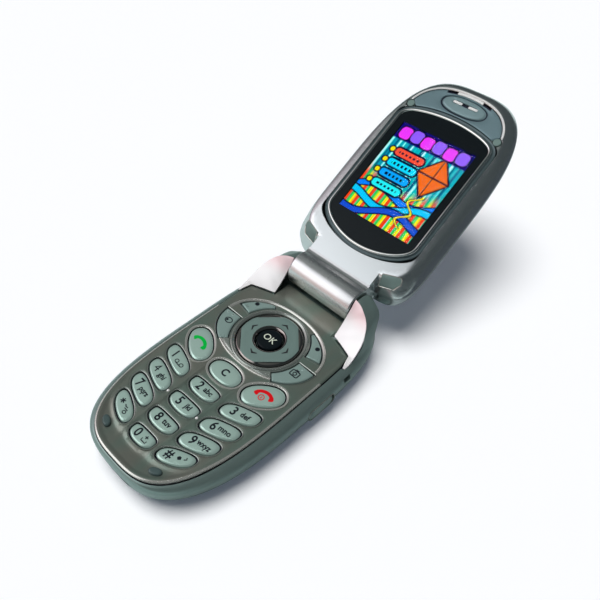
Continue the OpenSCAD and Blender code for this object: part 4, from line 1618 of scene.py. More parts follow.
@dataclass
class KeyPanel(SubAssembly):
    """Key panel: bevelled windows, ridges, the scoop at its end and the lip round it."""

    pitch: float = 0.62
    under: float = 11.3
    gap: float = 0.36
    bevel: float = 0.42

    def plate(self) -> Plate:
        """Return the panel with all its windows.

        Returns:
            The plate.
        """
        made = Plate(panel_height, self.pitch)
        rim = []
        for grow, z in ((0.0, 11.75), (-0.02, 12.25), (-0.16, 12.5), (-0.4, 12.66), (-0.75, 12.7),
                (-1.1, 12.62), (-1.6, None)):
            rim.append((self.edge(grow), z))
        loops = []
        for points, z in rim:
            base = panel_height(points[:, 0], points[:, 1])
            side = smooth_step(points[:, 1], -30, -12)
            level = base if z is None else (z * (1 - side) + (z - 0.42) * side)
            rear = smooth_step(points[:, 1], 24.5, 27.0)
            level = level * (1 - rear) + np.minimum(level, base) * rear
            loops.append((points, level))
        made.border(loops, self.under)
        for key in KEYS:
            wide = 0.6 if key.name in ("key_send", "key_end", "key_clear") else self.bevel
            made.opening([(key.egg.outline(self.gap), 0.34), (key.egg.outline(self.gap + wide
                * 0.5), 0.12), (key.egg.outline(self.gap + wide), 0.0)], self.under)
        for ring in RING_KEYS:
            made.opening([(ring.plan(self.gap), 0.3), (ring.plan(self.gap + 0.3), 0.0)], self.under)
        made.opening([(circle(0, NAV_Y, 10.45, 120), 0.55), (circle(0, NAV_Y, 10.9, 120), 0.12),
            (circle(0, NAV_Y, 11.35, 120), 0.0)], self.under)
        return made

    def edge(self, grow: float) -> Array:
        """Return the panel's outline, with the deck between the caps.

        Args:
            grow: Distance outside the outline.

        Returns:
            The points.
        """
        egg = panel_egg(grow).outline(steps=360)
        body = rounded_from_gap(egg[egg[:, 1] < 20.2], MIDDLE_Y)
        g = grow
        deck = [(21.6 + g, 20.5), (20.75 + g, 24.75 + g * 0.4), (12.65 + g * 0.5, 27.35 + g * 0.4),
            (12.65 + g * 0.5, 33.9 + g * 0.5)]
        right = even(np.array([body[-1], *deck]), 46, closed=False)[1:]
        return np.vstack([body, right, right[::-1] * np.array([-1, 1])])

    def build(self) -> None:
        """Build the panel, its nibs and the bright rim."""
        panel = self.piece("key_panel", self.plate().mesher(), Finish.PANEL, "base", "front_panel",
            sharp=34, outward=False)
        panel.data.materials.append(Finish.SHADOW.material())
        for face in panel.data.polygons:
            face.material_index = int(abs(face.normal.z) < 0.2)
        floor = Plate(lambda x, y: np.full(np.shape(x), 11.05), 3.0)
        floor.border([(self.edge(0.3), 11.05)], 11.0)
        floor.opening([(circle(0, NAV_Y, 11.3, 80), 0.0)], 11.0)
        self.piece("panel_underlay", floor.mesher(), Finish.SHADOW, "base", outward=False)
        frames, bright = Mesher(), Mesher()
        for key in KEYS:
            big = key.name in ("key_send", "key_end", "key_clear")
            w = 0.34 if big else 0.15
            (bright if big else frames).add(swept(key.egg.outline(self.gap + w, steps=96),
                [(-w, 12.0), (-w, 12.5), (w * 0.5, 12.5 + w * 0.75), (w * 0.9, 12.5 + w * 0.7),
                (w * 1.2, 12.3)]))
        for ring in RING_KEYS:
            frames.add(swept(ring.plan(self.gap + 0.12), [(-0.12, 12.0), (-0.12, 12.55),
                (0.05, 12.68), (0.14, 12.67), (0.16, 12.4)]))
        self.piece("window_rims", frames, Finish.FRAME, "base")
        self.piece("call_key_rims", bright, Finish.COLLAR, "base")
        around = self.edge(-0.2)
        around = around[around[:, 1] < 12]
        around = around[np.argsort(np.arctan2(around[:, 0], MIDDLE_Y - around[:, 1]))]
        around = around[np.abs(np.arctan2(around[:, 0], MIDDLE_Y - around[:, 1])) < 2.0]
        lip = swept(around, [(-0.42, 12.4), (-0.38, 12.8), (-0.28, 12.87), (-0.14, 12.86),
            (0.2, 12.6), (0.26, 12.1)], closed=False)
        lip.points = [(x, y, z - 0.42 * float(smooth_step(y, -30, -12))) for x, y, z in lip.points]
        self.piece("panel_lip", lip, Finish.COLLAR, "base")
        nibs = Mesher()
        for x, y in ((-6.6, -19.6), (6.0, -19.8)):
            z = float(panel_height(np.array([x]), np.array([y]))[0])
            rings = [at(circle(x, y, r, 20), z + h) for r, h in ((0.45, -0.2), (0.42, 0.1),
                (0.32, 0.24), (0.16, 0.32))]
            nibs.loft(rings, end=True)
        self.piece("panel_nibs", nibs, Finish.WHITE, "base", outward=False)

    def rim(self) -> None:
        """Build the bright oval rim round the navigation keys, the collar and the chin."""
        whole = Egg(18.25, 12.6, 12.1, 2.2, 2.1, y=NAV_Y).outline(steps=360)
        angle = np.degrees(np.arctan2(whole[:, 1] - NAV_Y, whole[:, 0]))
        made = Mesher()
        for first, last in ((1.5, 178.5), (-137, -43)):
            part = np.flatnonzero((angle > first) & (angle < last))
            made.add(swept(whole[part[np.argsort(angle[part])]], [(-0.56, 12.2), (-0.56, 12.5),
                (-0.42, 12.66), (-0.05, 12.9), (0.14, 12.95), (0.34, 12.86), (0.46, 12.6),
                (0.46, 12.2)], closed=False))
        self.piece("navigation_rim", made, Finish.COLLAR, "base", "key_ring")
        collar = swept(circle(0, NAV_Y, 11.35, 160), [(-0.9, 12.2), (-0.88, 12.45), (-0.8, 12.55),
            (-0.35, 12.84), (-0.2, 12.9), (0.0, 12.9), (0.3, 12.74), (0.4, 12.6), (0.44, 12.3)])
        self.piece("disc_collar", collar, Finish.FRAME, "base")
        run = np.radians(np.linspace(-137, -43, 60))
        far = 1 / ((np.abs(np.cos(run)) / 17.75) ** 2.1 + (np.abs(np.sin(run)) / 11.6) ** 2.1) ** (1
            / 2.1)
        rows = []
        for share, z in ((1, 12.3), (0.97, 12.62), (0.8, 12.74), (0.4, 12.84), (0.12, 12.86),
                (0, 12.3)):
            r = 11.85 + (np.maximum(far, 12.0) - 11.85) * share
            rows.append(at(np.c_[r * np.cos(run), NAV_Y + r * np.sin(run)], z))
        self.piece("rim_chin", Mesher().loft(rows, closed=False), Finish.FRAME, "base",
            outward=False)

    def feet(self) -> None:
        """Build the two rubber feet in the scoop."""
        made = Mesher()
        for side in (1, -1):
            egg = Egg(1.9, 1.1, 1.1, 2.2, 2.2, x=side * 10.6, y=-37, turn=side * 28)
            rings = []
            for share, z in ((1.0, 11.3), (1.0, 12.45), (0.95, 12.75), (0.82, 12.95), (0.6, 13.04),
                    (0.3, 13.05)):
                plan = egg.outline(scale=share, steps=40)
                rings.append(at(plan, z))
            made.loft(rings, end=True)
        self.piece("base_feet", made, Finish.FOOT, "base", "base_bumpers")


@dataclass(frozen=True)
class RingKey:
    """One of the four keys between the navigation disc and the oval rim."""

    name: str
    first: float
    last: float
    half_width: float
    half_height: float
    inner: float = 12.5

    def plan(self, grow: float = 0.0, steps: int = 26) -> Array:
        """Return the key's outline, grown by a distance.

        Args:
            grow: Distance outside the outline.
            steps: Number of points.

        Returns:
            The points.
        """
        a0, a1 = self.first - grow * 3.6, self.last + grow * 3.6
        run = np.radians(np.linspace(a0, a1, steps))
        out = (np.abs(np.cos(run) / (self.half_width + grow)) ** 2.2
            + np.abs(np.sin(run) / (self.half_height + grow)) ** 2.2) ** (-1 / 2.2)
        far = np.stack([out * np.cos(run), out * np.sin(run)], 1)
        near = (self.inner - grow) * np.stack([np.cos(run), np.sin(run)], 1)
        ring = np.vstack([far, near[::-1]])
        return even(ring, 96) + np.array([0, NAV_Y])

    def height(self, x: Array, y: Array) -> Array:
        """Return the height of the key's top, crowned across the ring."""
        r = np.hypot(x, y - NAV_Y)
        return PANEL_TOP + 0.26 - 0.012 * (r - 14.6) ** 2

    def body(self) -> Mesher:
        """Return the key's top and sides.

        Returns:
            Its points and faces.
        """
        rings = []
        for grow, drop in ((0.0, 1.27), (0.0, 0.34), (-0.12, 0.15), (-0.28, 0.05), (-0.5, 0.0),
                (-0.9, 0.0)):
            plan = self.plan(grow)
            rings.append(np.c_[plan, self.height(plan[:, 0], plan[:, 1]) - drop])
        made = Mesher().loft(rings)
        sheet = Plate(self.height, 0.7)
        sheet.border([(self.plan(-0.9), self.height(*self.plan(-0.9).T))], 0)
        top = sheet.mesher()
        top.faces = [f for f in top.faces if len(f) == 3]
        return made.add(top)


RING_KEYS = [
    RingKey("key_soft_right", 13, 52, 17.3, 11.8),
    RingKey("key_soft_left", 128, 167, 17.3, 11.8),
    RingKey("key_side_right", -42, -1, 18.3, 12.4),
    RingKey("key_side_left", 181, 222, 18.3, 12.4),
]


@dataclass
class Keypad(SubAssembly):
    """The fifteen keys of the pad and the four round the disc, with their print."""

    digit_size: float = 3.85
    letter_size: float = 2.35

    def handset(self, ink: Lettering, x: float, y: float, turn: float) -> None:
        """Print a handset that arches over its middle.

        Args:
            ink: Signs that it joins.
            x: Place of its middle.
            y: Place of its middle.
            turn: Angle in degrees.
        """
        c, s = cos(radians(turn)), sin(radians(turn))

        def turned(points: Sequence[Point]) -> list[Point]:
            """Return points turned and moved to the key."""
            return [(x + c * a - s * b, y + s * a + c * b) for a, b in points]

        ink.stroke(turned([(2.5 * cos(a), 1.7 * sin(a) - 0.75) for a in np.radians(np.linspace(28,
            152, 18))]), 1.05)
        end = ((0.0, 0.1), (0.05, -0.75), (0.3, -1.05), (1.2, -0.7), (1.35, -0.3), (0.85, 0.45))
        for side in (1, -1):
            ink.shape(turned([(side * (1.7 + 1.1 * dx), 1.2 * dy) for dx, dy in end]))

    def print_on(self, key: Key) -> list[Piece]:
        """Return what is printed on a key.

        Args:
            key: The key.

        Returns:
            The signs.
        """
        ink = Lettering(key.height)
        x, y, slope = key.egg.x, key.egg.y, key.egg.slope
        name = key.name + "_print"
        if key.name == "key_send":
            self.handset(ink, x - 0.1, y + 0.3, -14)
            return [ink.piece(name, Finish.GREEN_INK)]
        if key.name == "key_end":
            self.handset(ink, x + 0.1, y + 0.5, 12)
            ink.ring(x, y - 0.7, 0.85, 0.85, 0.26, 20)
            ink.stroke([(x, y - 0.35), (x, y - 1.15)], 0.3)
            return [ink.piece(name, Finish.RED_INK)]
        if key.name == "key_clear":
            ink.text("C", 3.3, x, y - 0.1, squeeze=0.95)
            return [ink.piece(name, Finish.INK)]
        dx = (-1.75 if slope > 0 else -2.0) if slope else -1.55
        raised = -0.35 if key.egg.n_up > 4 or key.name == "key_0" else 0.0
        if key.digit != "*":
            ink.text(key.digit, self.digit_size, x + dx, y + dx * slope + raised,
                weight=0.0 if key.digit == "4" else 0.022, squeeze=0.92)
        if key.name == "key_1":
            for cx in (0.35, 2.5):
                ink.ring(x + cx, y + (cx + 0.3) * slope * 0.4 - 0.55, 0.62, 0.55, 0.26)
            ink.stroke([(x + 0.35, y - 1.1 + 0.3 * slope), (x + 2.5, y - 1.1 + slope)], 0.32)
        elif key.letters:
            ink.text(key.letters, self.letter_size, x + dx + 3.35, y + (dx + 3.2) * slope * 0.85
                + raised * 0.5, degrees(atan(slope)) * 0.35, weight=0.03, squeeze=0.86
                if len(key.letters) > 3 else 0.95)
        elif key.name == "key_0":
            ink.text("+", 2.0, x + 1.55, y + 0.1)
            ink.stroke([(x + 0.75, y - 0.5), (x + 0.75, y - 1.2), (x + 2.4, y - 1.2),
                (x + 2.4, y - 0.5)], 0.3)
        elif key.name == "key_star":
            for turn in (90, 30, 150):
                c, s = 0.85 * cos(radians(turn)), 0.85 * sin(radians(turn))
                ink.stroke([(x - 1.3 - c, y + 0.55 - s), (x - 1.3 + c, y + 0.55 + s)], 0.34)
            ink.stroke([(x + 0.2, y + 0.35), (x + 0.9, y - 0.1), (x + 1.6, y + 0.0)], 0.32)
            ink.ring(x + 1.9, y - 1.5, 0.55, 0.45, 0.28, 30)
            ink.stroke([(x + 0.9, y - 0.6), (x + 2.3, y - 0.7)], 0.3)
        elif key.name == "key_hash":
            ink.shape([(x + 0.35, y + 0.1), (x + 1.0, y - 0.35), (x + 1.65, y + 0.2),
                (x + 1.3, y + 0.85), (x + 0.7, y + 0.8)])
            ink.stroke([(x + 2.2, y + 0.75), (x + 2.75, y + 1.3), (x + 2.35, y + 1.75)], 0.3)
        return [ink.piece(name, Finish.INK)]

    def build(self) -> None:
        """Build every key and its print."""
        for key in KEYS:
            self.piece(key.name + "_top", key.body(), Finish.KEY, key.name, key.name, sharp=45)
            for sign in self.print_on(key):
                self.keep(sign, key.name, Finish.INK)
        for ring in RING_KEYS:
            self.piece(ring.name + "_top", ring.body(), Finish.SIDE_KEY, ring.name, ring.name,
                sharp=45)
            ink = Lettering(ring.height)
            if ring.name.startswith("key_soft"):
                ink.spot(copysign(12.85, 90 - ring.first), NAV_Y + 7.1, 0.72)
            elif ring.name == "key_side_left":
                ink.ring(-14.2, 9.4, 1.25, 0.95, 0.32, 15)
                ink.spot(-14.75, 9.3, 0.42)
            else:
                ink.stroke(box_outline(12.95, 8.15, 15.65, 10.1, 0.35, 2), 0.36, closed=True)
                ink.ring(14.3, 9.1, 0.55, 0.55, 0.3)
                ink.stroke([(13.75, 10.45), (14.85, 10.45)], 0.3)
            self.keep(ink.piece(ring.name + "_print", Finish.INK), ring.name, Finish.INK)


@dataclass
class NavCluster(SubAssembly):
    """Navigation disc with its four facets and arrows, and the button in its middle."""

    radius: float = 10.1
    well: float = 4.85
    button: float = 3.85
    top: float = 12.85
    unit: Array = field(init=False)

    def face_radius(self, angle: Array) -> Array:
        """Return how far the grey face reaches: less on the diagonals, where facets cut it.

        Args:
            angle: Directions from the middle.

        Returns:
            One reach for each direction.
        """
        wide = self.radius - 0.5
        off = (angle + pi / 4) % (pi / 2) - pi / 4
        chord = 8.6 / np.maximum(np.cos(np.abs(off) - pi / 4), 0.5)
        return np.minimum(wide, chord)

    def turned(self, name: str, rows: Sequence[tuple[Array | float, Array | float]],
            finish: Finish, body: str, *stands_for: str, end: bool = False) -> None:
        """Build a piece that runs round the middle of the disc.

        Args:
            name: Its name.
            rows: Radius and height of each ring.
            finish: Its finish.
            body: Body that carries it.
            stands_for: Nodes that it replaces.
            end: Whether its last ring is closed.
        """
        rings = [at(self.unit * np.broadcast_to(r, len(self.unit))[:, None] + (0, NAV_Y), z) for r,
            z in rows]
        self.piece(name, Mesher().loft(rings, end=end), finish, body, *stands_for, outward=False)

    def build(self) -> None:
        """Build the disc's rim, face, arrows and middle button."""
        angle = np.arange(144) * 2 * pi / 144
        self.unit = np.stack([np.cos(angle), np.sin(angle)], 1)
        r, top, well, button = self.radius, self.top, self.well, self.button
        reach = self.face_radius(angle)
        cut = 1 - smooth_step(reach, r - 1.2, r - 0.5)
        self.turned("disc_rim", [(r - 0.3, 11.6), (r, 11.9), (r, 12.25), (r - 0.05, 12.4),
            (r - 0.2, 12.56 - 0.05 * cut), (r - 0.4, 12.7 - 0.12 * cut), (reach + 0.02,
            top - 0.09 - 0.06 * cut), (reach - 0.1, top - 0.2)], Finish.DARK_CHROME, "nav_disc",
            "nav_disc")
        self.turned("disc_face", [(reach - 0.02, top - 0.25), (reach - 0.02, top - 0.05),
            (reach - 0.16, top), (reach * 0.5 + 3.2, top - 0.03), (well + 0.6, top - 0.06),
            (well + 0.35, top - 0.03)], Finish.NAV, "nav_disc")
        self.turned("disc_dish", [(well + 0.35, top - 0.03), (well + 0.2, top + 0.02),
            (well, top - 0.03), (well - 0.25, top - 0.2), (well - 0.45, top - 0.5),
            (4.15, top - 0.8), (4.15, 11.5)], Finish.DARK_CHROME, "nav_disc")
        arrows = Mesher()
        shape = ((7.55, 0), (6.55, -1.35), (6.3, -1.3), (6.85, 0), (6.3, 1.3), (6.55, 1.35))
        for turn in np.radians((0, 90, 180, 270)):
            c, s = cos(turn), sin(turn)
            ink = Lettering(lambda x, y: np.full(np.shape(x), top - 0.02), 0.015)
            ink.laid(np.array([(c * a - s * b, NAV_Y + s * a + c * b) for a, b in shape]),
                [(0, 5, 4, 3), (0, 3, 2, 1)])
            arrows.add(ink.made)
        self.piece("disc_arrows", arrows, Finish.PLASTIC, "nav_disc", outward=False)
        self.turned("ok_button", [(button, 11.3), (button, 12.35), (button - 0.1, 12.58),
            (button - 0.35, 12.72), (button - 1.0, 12.8), (button - 2.2, 12.84), (0.6, 12.85)],
            Finish.BLACK, "key_ok", "key_ok", end=True)
        words = Lettering(lambda x, y: np.full(np.shape(x), 12.845), 0.015)
        words.text("OK", 3.1, 0, NAV_Y, weight=0.0)
        self.keep(words.piece("ok_print", Finish.PALE_INK), "key_ok", Finish.PALE_INK)


@dataclass
class SideDetails(SubAssembly):
    """What sits in the sides and the underside of the base."""

    repeater: Repeater = field(default_factory=Repeater)

    def block(self, outline: Array, layers: Sequence[tuple[float, float]],
            place: Matrix | None = None) -> Mesher:
        """Return a plate with softened edges: layers give a share of the outline and a height.

        Args:
            outline: Outline in plan.
            layers: Inset and height of each layer.
            place: Where it lies in the part's frame.

        Returns:
            Its points and faces.
        """
        middle = outline.mean(axis=0)
        rings = []
        for inset, z in layers:
            out = outline - middle
            size = np.linalg.norm(out, axis=1)[:, None]
            plan = middle + out * (1 - inset / size)
            rings.append(at(plan, z))
        made = Mesher().loft(rings, start=True, end=True)
        if place is not None:
            made.points = [tuple(place @ Vector(p)) for p in made.points]
        return made

    def build(self) -> None:
        """Build cover, latch, the rows of ribs, contacts and holes, rocker and flap."""
        cover = self.block(box_outline(-16.5, -24.5, 16.5, 25.5, 4, 8), [(0, 1.15), (0, 0.25),
            (0.12, 0.08), (0.3, 0.0)])
        self.piece("battery_cover_plate", cover, Finish.HOUSING, "base", "battery_cover")
        latch = self.block(box_outline(-5.3, 26.9, 5.3, 30.3, 0.8, 5), [(0, 1.2), (0, 0.35),
            (0.1, 0.22), (0.25, 0.2)])
        self.piece("latch_plate", latch, Finish.PLASTIC, "battery_latch", "battery_latch")
        rib = self.block(box_outline(-6, -0.35, 6, 0.35, 0.3, 3), [(0, 0.06), (0.02, 0.0),
            (0.2, -0.0)])
        notch = self.block(box_outline(-3.6, -0.2, 3.6, 0.2, 0.18, 3), [(0, 0.3), (0, -0.12),
            (0.08, -0.2)])
        finger = self.block(box_outline(-0.2, -1.6, 0.2, 1.6, 0.08, 2), [(0, 0.0), (0, 0.1),
            (0.05, 0.16)])
        hole = Mesher().loft([at(circle(0, 0, r, 16), z) for r, z in ((0.42, 0.25), (0.42, -0.02),
            (0.34, -0.02))], start=True, end=True)
        for name, shape, count, span, finish, body, spot in (("cover_grip", rib, (1, 5), (0, 6.4),
                Finish.RUBBER, "base", (0, 18, -0.03)), ("latch_ribs", notch, (1, 4), (0, 2.1),
                Finish.HOUSING, "battery_latch", (0, 28.6, 0.2)), ("connector_contacts", finger,
                (12, 1), (9.2, 0), Finish.GOLD, "base", (0, -40.2, 6.75)), ("ringer_holes", hole,
                (5, 3), (6.0, 3.0), Finish.SHADOW, "base", (0, -33.2, 0.0))):
            self.keep(self.repeater.set_out(name, shape, *count, *span, finish,
                Matrix.Translation(spot)), body, finish)
        self.rocker()
        self.flap()

    def rocker(self) -> None:
        """Build the volume rocker on the left side."""
        place = Matrix.Translation((-25, 9, 6.2)) @ Matrix.Rotation(radians(-90), 4, "Y")
        made = self.block(box_outline(-1.6, -6.5, 1.6, 6.5, 1.5, 8), [(0, -1.3), (0, 0.1),
            (0.12, 0.35), (0.4, 0.5), (0.8, 0.55)], place)
        for y in (-4.3, 4.3):
            made.add(self.block(circle(0, y, 0.5, 24), [(0, 0.4), (0, 0.6), (0.15, 0.72)], place))
        self.piece("volume_rocker", made, Finish.SIDE_KEY, "volume_key", "volume_key")

    def flap(self) -> None:
        """Build the socket cover on the right side."""
        place = Matrix.Translation((25, 9, 7)) @ Matrix.Rotation(radians(90), 4, "Y")
        made = self.block(box_outline(-1.7, -4.7, 1.7, 4.7, 1.2, 8), [(0, -1.6), (0, -0.25),
            (0.1, -0.1), (0.25, -0.02)], place)
        lip = np.array([(-0.3, -4.4), (0.3, -4.4), (0.3, -3.4), (-0.3, -3.4)])
        made.add(self.block(lip, [(0, -0.1), (0, 0.05)], place))
        plug = self.block(circle(0, 0, 0.9, 28), [(0, -2.4), (0, -1.5)], place)
        self.piece("socket_cover", made.add(plug), Finish.HOUSING, "jack_cover", "jack_cover")
        rim = swept(box_outline(-1.86, -4.86, 1.86, 5.46, 1.3, 6), [(-0.02, -0.8), (-0.02, 0.0),
            (0.06, 0.06), (0.16, 0.06), (0.24, -0.05), (0.26, -0.8)])
        rim.points = [tuple(place @ Vector(p)) for p in rim.points]
        self.piece("socket_rim", rim, Finish.FRAME, "base")


# ---- Lid ----


def lid_slice(half_width: float, tip: float, low: float) -> Egg:
    """Return an outline of the lid from its half width and its two ends."""
    return Egg(half_width, tip - 35, 35 - low, 3.2, 7 - 0.5 * max(low - 6.6, 0), y=35)


def window_outline(grow: float, steps: int = 220) -> Array:
    """Return the display window: straight sides, arched top, deeper arched bottom.

    Args:
        grow: Distance outside the outline.
        steps: Number of points.

    Returns:
        The points.
    """
    w = 16.5 + grow
    top_r, bottom_r, corner = 50, 27 + grow * 3, 3.4
    rows = []
    half = 160
    for side in (1, -1):
        for i in range(half):
            x = side * w * cos(pi * (i + 0.5) / half)
            off = corner * (1 - (1 - abs(x / w) ** 9) ** 0.25)
            if side > 0:
                rows.append((x, 65 + grow - (top_r - sqrt(top_r**2 - x * x)) - off))
            else:
                rows.append((x, 15.9 - grow + bottom_r - sqrt(bottom_r**2 - x * x) + off))
    return even(np.array(rows), steps)


@dataclass
class LidShell(SubAssembly):
    """Lid frame, lid cover and the barrel that joins them to the base."""

    face: float = 2.9
    parting: float = -1.7
    neck: float = 12.45
    neck_end: float = 6.6
    front: tuple[tuple[float, float, float, float], ...] = ((-1.7, 23.5, 80.9, 6.6),
        (-0.9, 23.36, 80.65, 7.2), (0, 23.1, 80.1, 8.4), (0.9, 22.75, 79.55, 9.2),
        (1.7, 22.3, 78.8, 9.9), (2.25, 21.9, 78.15, 10.3), (2.6, 21.55, 77.55, 10.65),
        (2.82, 21.15, 77.1, 11.0), (2.9, 20.6, 76.5, 11.5))
    back: tuple[tuple[float, float, float, float], ...] = ((-1.82, 23.5, 80.9, 6.7),
        (-3.1, 23.35, 80.7, 6), (-3.9, 23.0, 80.3, 5.5), (-4.6, 22.5, 79.7, 5.2),
        (-5.1, 21.8, 78.9, 5.3), (-5.5, 20.7, 77.7, 5.8), (-5.85, 19.2, 76.0, 7.0),
        (-6.1, 17.2, 73.6, 8.8))
    pad_lift: float = 0.27
    crown: float = 0.075
    crown_from: float = 18.7

    def with_neck(self, egg: Egg, half: float, end: float) -> Array:
        """Return an outline that runs down the neck to the barrel.

        Args:
            egg: Outline of the body.
            half: Half its width.
            end: Where the neck ends.

        Returns:
            The points.
        """
        ring = egg.outline(steps=420)
        body = rounded_from_gap(ring[~((np.abs(ring[:, 0]) < half) & (ring[:, 1] < 20))], 35)
        low = body[0][1]
        neck = [even(np.array(leg), count, closed=False)[first:] for leg, count,
            first in (([(-half, low), (-half, end)], 12, 0), ([(-half, end), (half, end)], 30, 1),
            ([(half, end), (half, low)], 12, 1))]
        return np.vstack([body, *neck])

    def front_height(self, x: Array, y: Array) -> Array:
        """Return the height of the inner face, which falls away beside the window."""
        return self.face - self.crown * np.clip(np.abs(x) - self.crown_from, 0, None) ** 2

    def frame(self) -> None:
        """Build the lid frame's inner face with its rounded edge."""
        plate = Plate(self.front_height, 1.1)
        rim = []
        for i, (w, half, tip, low) in enumerate(self.front):
            points = self.with_neck(lid_slice(half, tip, low), self.neck + 0.02 - 0.22 * i / 8,
                self.neck_end - 0.001 * (8 - i))
            rim.append((points, np.minimum(w, self.front_height(*points.T))))
        plate.border(rim, self.parting - 0.1)
        plate.opening([(window_outline(2.3), 0.16), (window_outline(2.45), 0.0)], 1.9)
        plate.opening([(self.plate_edge(0.12), 0.1), (self.plate_edge(0.24), 0.0)], 2.1)
        for side in (1, -1):
            plate.opening([(circle(side * 16.4, 65.4, 1.6, 36), 0.05), (circle(side * 16.4, 65.4,
                1.68, 36), 0.0)], 1.9)
        self.piece("lid_frame_face", plate.mesher(), Finish.SILVER, "lid", "lid_frame",
            sharp=34, outward=False)

    def plate_edge(self, grow: float) -> Array:
        """Return the outline of the earpiece plate.

        Args:
            grow: Distance outside the outline.

        Returns:
            The points.
        """
        top = Egg(17 + grow, 13.9 + grow, 8, 2.5, 3, y=62).outline(steps=360)
        top = top[(top[:, 1] > 66.9 - grow)]
        order = np.argsort(np.arctan2(top[:, 1] - 62, top[:, 0]))
        top = top[order]
        window = window_outline(2.35 - grow, 320)
        arch = window[(window[:, 1] > 62.0) & (np.abs(window[:, 0]) < 14.7 + grow)]
        arch = arch[np.argsort(arch[:, 0])]
        return even(np.vstack([top, arch]), 170)

    def cover(self) -> None:
        """Build the lid cover, which faces away when the lid is open."""
        rings = []
        for i, (w, half, tip, low) in enumerate(self.back):
            points = self.with_neck(lid_slice(half, tip, low), self.neck + 0.02 - 0.3 * i / 7, 2.6)
            rings.append(np.c_[even(points, 420), np.full(420, w)])
        made = Mesher().loft([rings[0] + np.array([0, 0, 0.07]), *rings])
        plate = Plate(lambda x, y: np.full(np.shape(x), 6.1), 1.4)
        plate.border([(rings[-1][:, :2], 6.1)], 6.1)
        lens = Egg(12.58, 15.08, 15.08, 2.6, 2.6, y=45)
        plate.opening([(lens.outline(steps=120), 0.12), (lens.outline(0.25, steps=120), 0.0)], 5.2)
        flat = plate.mesher()
        flat.points = [(x, y, -z) for x, y, z in flat.points]
        made.add(flat)
        self.piece("lid_back", made, Finish.SILVER, "lid", "lid_cover", sharp=34, outward=False)

    def barrel(self) -> None:
        """Build the barrel and the fillet that runs from it into the neck."""
        fillet_r = 2.3
        cy = self.face + fillet_r
        cx = sqrt((BARREL_R + fillet_r) ** 2 - cy**2)
        profile = [(self.neck_end + 0.02, self.face), (self.neck_end - 0.5, self.face)]
        touch = atan2(cy, cx)
        start, stop = -pi / 2, touch - pi
        for t in np.linspace(start, stop, 18):
            profile.append((cx + fillet_r * cos(t), cy + fillet_r * sin(t)))
        for t in np.linspace(touch, radians(325), 64)[1:]:
            profile.append((BARREL_R * cos(t), BARREL_R * sin(t)))
        profile.extend([(4.8, -3.6), (7.0, -3.6), (self.neck_end + 0.02, 0)])
        flat = np.array(profile)
        sections = []
        for x, inset in ((12.5, 0.55), (12.48, 0.2), (12.3, 0.05), (12.0, 0.0), (6, 0.0), (0, 0.0),
                (-6, 0.0), (-12.0, 0.0), (-12.3, 0.05), (-12.48, 0.2), (-12.5, 0.55)):
            radius = np.linalg.norm(flat, axis=1)[:, None]
            shrink = np.where(flat[:, :1] > 5.0, flat, flat * (1 - inset / radius))
            sections.append(np.c_[np.full(len(flat), x), shrink])
        made = Mesher().loft(sections, start=True, end=True)
        self.piece("lid_barrel", made, Finish.BARREL, "lid", sharp=40)

    def pads(self) -> None:
        """Build the two pads beside the neck."""
        corners = [(13.5, 8.6), (18.2, 9.9), (19.5, 12), (19.4, 13.1), (19.0, 13.7), (13.5, 11.8)]
        outline = even(np.array(corners), 90)
        middle = outline.mean(axis=0)
        away = outline - middle
        away /= np.linalg.norm(away, axis=1)[:, None]
        plate = Plate(lambda x, y: self.edge_height(np.stack([x, y], 1)) + self.pad_lift, 0.4)
        plate.border([(outline - away * inset, self.edge_height(outline - away * inset) + lift)
            for inset, lift in ((0, 0.05), (0.06, self.pad_lift - 0.08), (0.22,
            self.pad_lift - 0.01))], 0.2)
        right = plate.mesher()
        line = swept(outline, [(-0.04, -0.3), (-0.04, 0.3), (0.06, 0.36), (0.2, 0.32), (0.26, -0.1),
            (0.26, -0.3)])
        lift = np.repeat(self.edge_height(outline), 6)
        line.points = [(x, y, z + float(h)) for (x, y, z), h in zip(line.points, lift)]
        self.piece("pad_rims", Mesher().add(line).add(line.mirrored()), Finish.COLLAR, "lid")
        self.piece("lid_pads", Mesher().add(right).add(right.mirrored()), Finish.BUMPER, "lid",
            "lid_bumpers", outward=False)

    def edge_height(self, plan: Array) -> Array:
        """Return the height of the frame's rounded edge near the neck.

        Args:
            plan: Points in plan.

        Returns:
            One number for each point.
        """
        table = np.array(self.front)
        levels = np.array([lid_slice(h, t, lo).level(plan[:, 0], plan[:, 1]) for _, h, t,
            lo in self.front])
        heights = []
        for column in levels.T:
            outside = column > 1
            if not outside.any():
                heights.append(self.face)
            elif outside.all():
                heights.append(self.parting)
            else:
                i = int(np.argmax(outside))
                share = (1 - column[i - 1]) / (column[i] - column[i - 1])
                heights.append(table[i - 1, 0] + share * (table[i, 0] - table[i - 1, 0]))
        return np.array(heights)

    def build(self) -> None:
        """Build the frame, cover, barrel and pads."""
        self.frame()
        self.cover()
        self.barrel()
        self.pads()


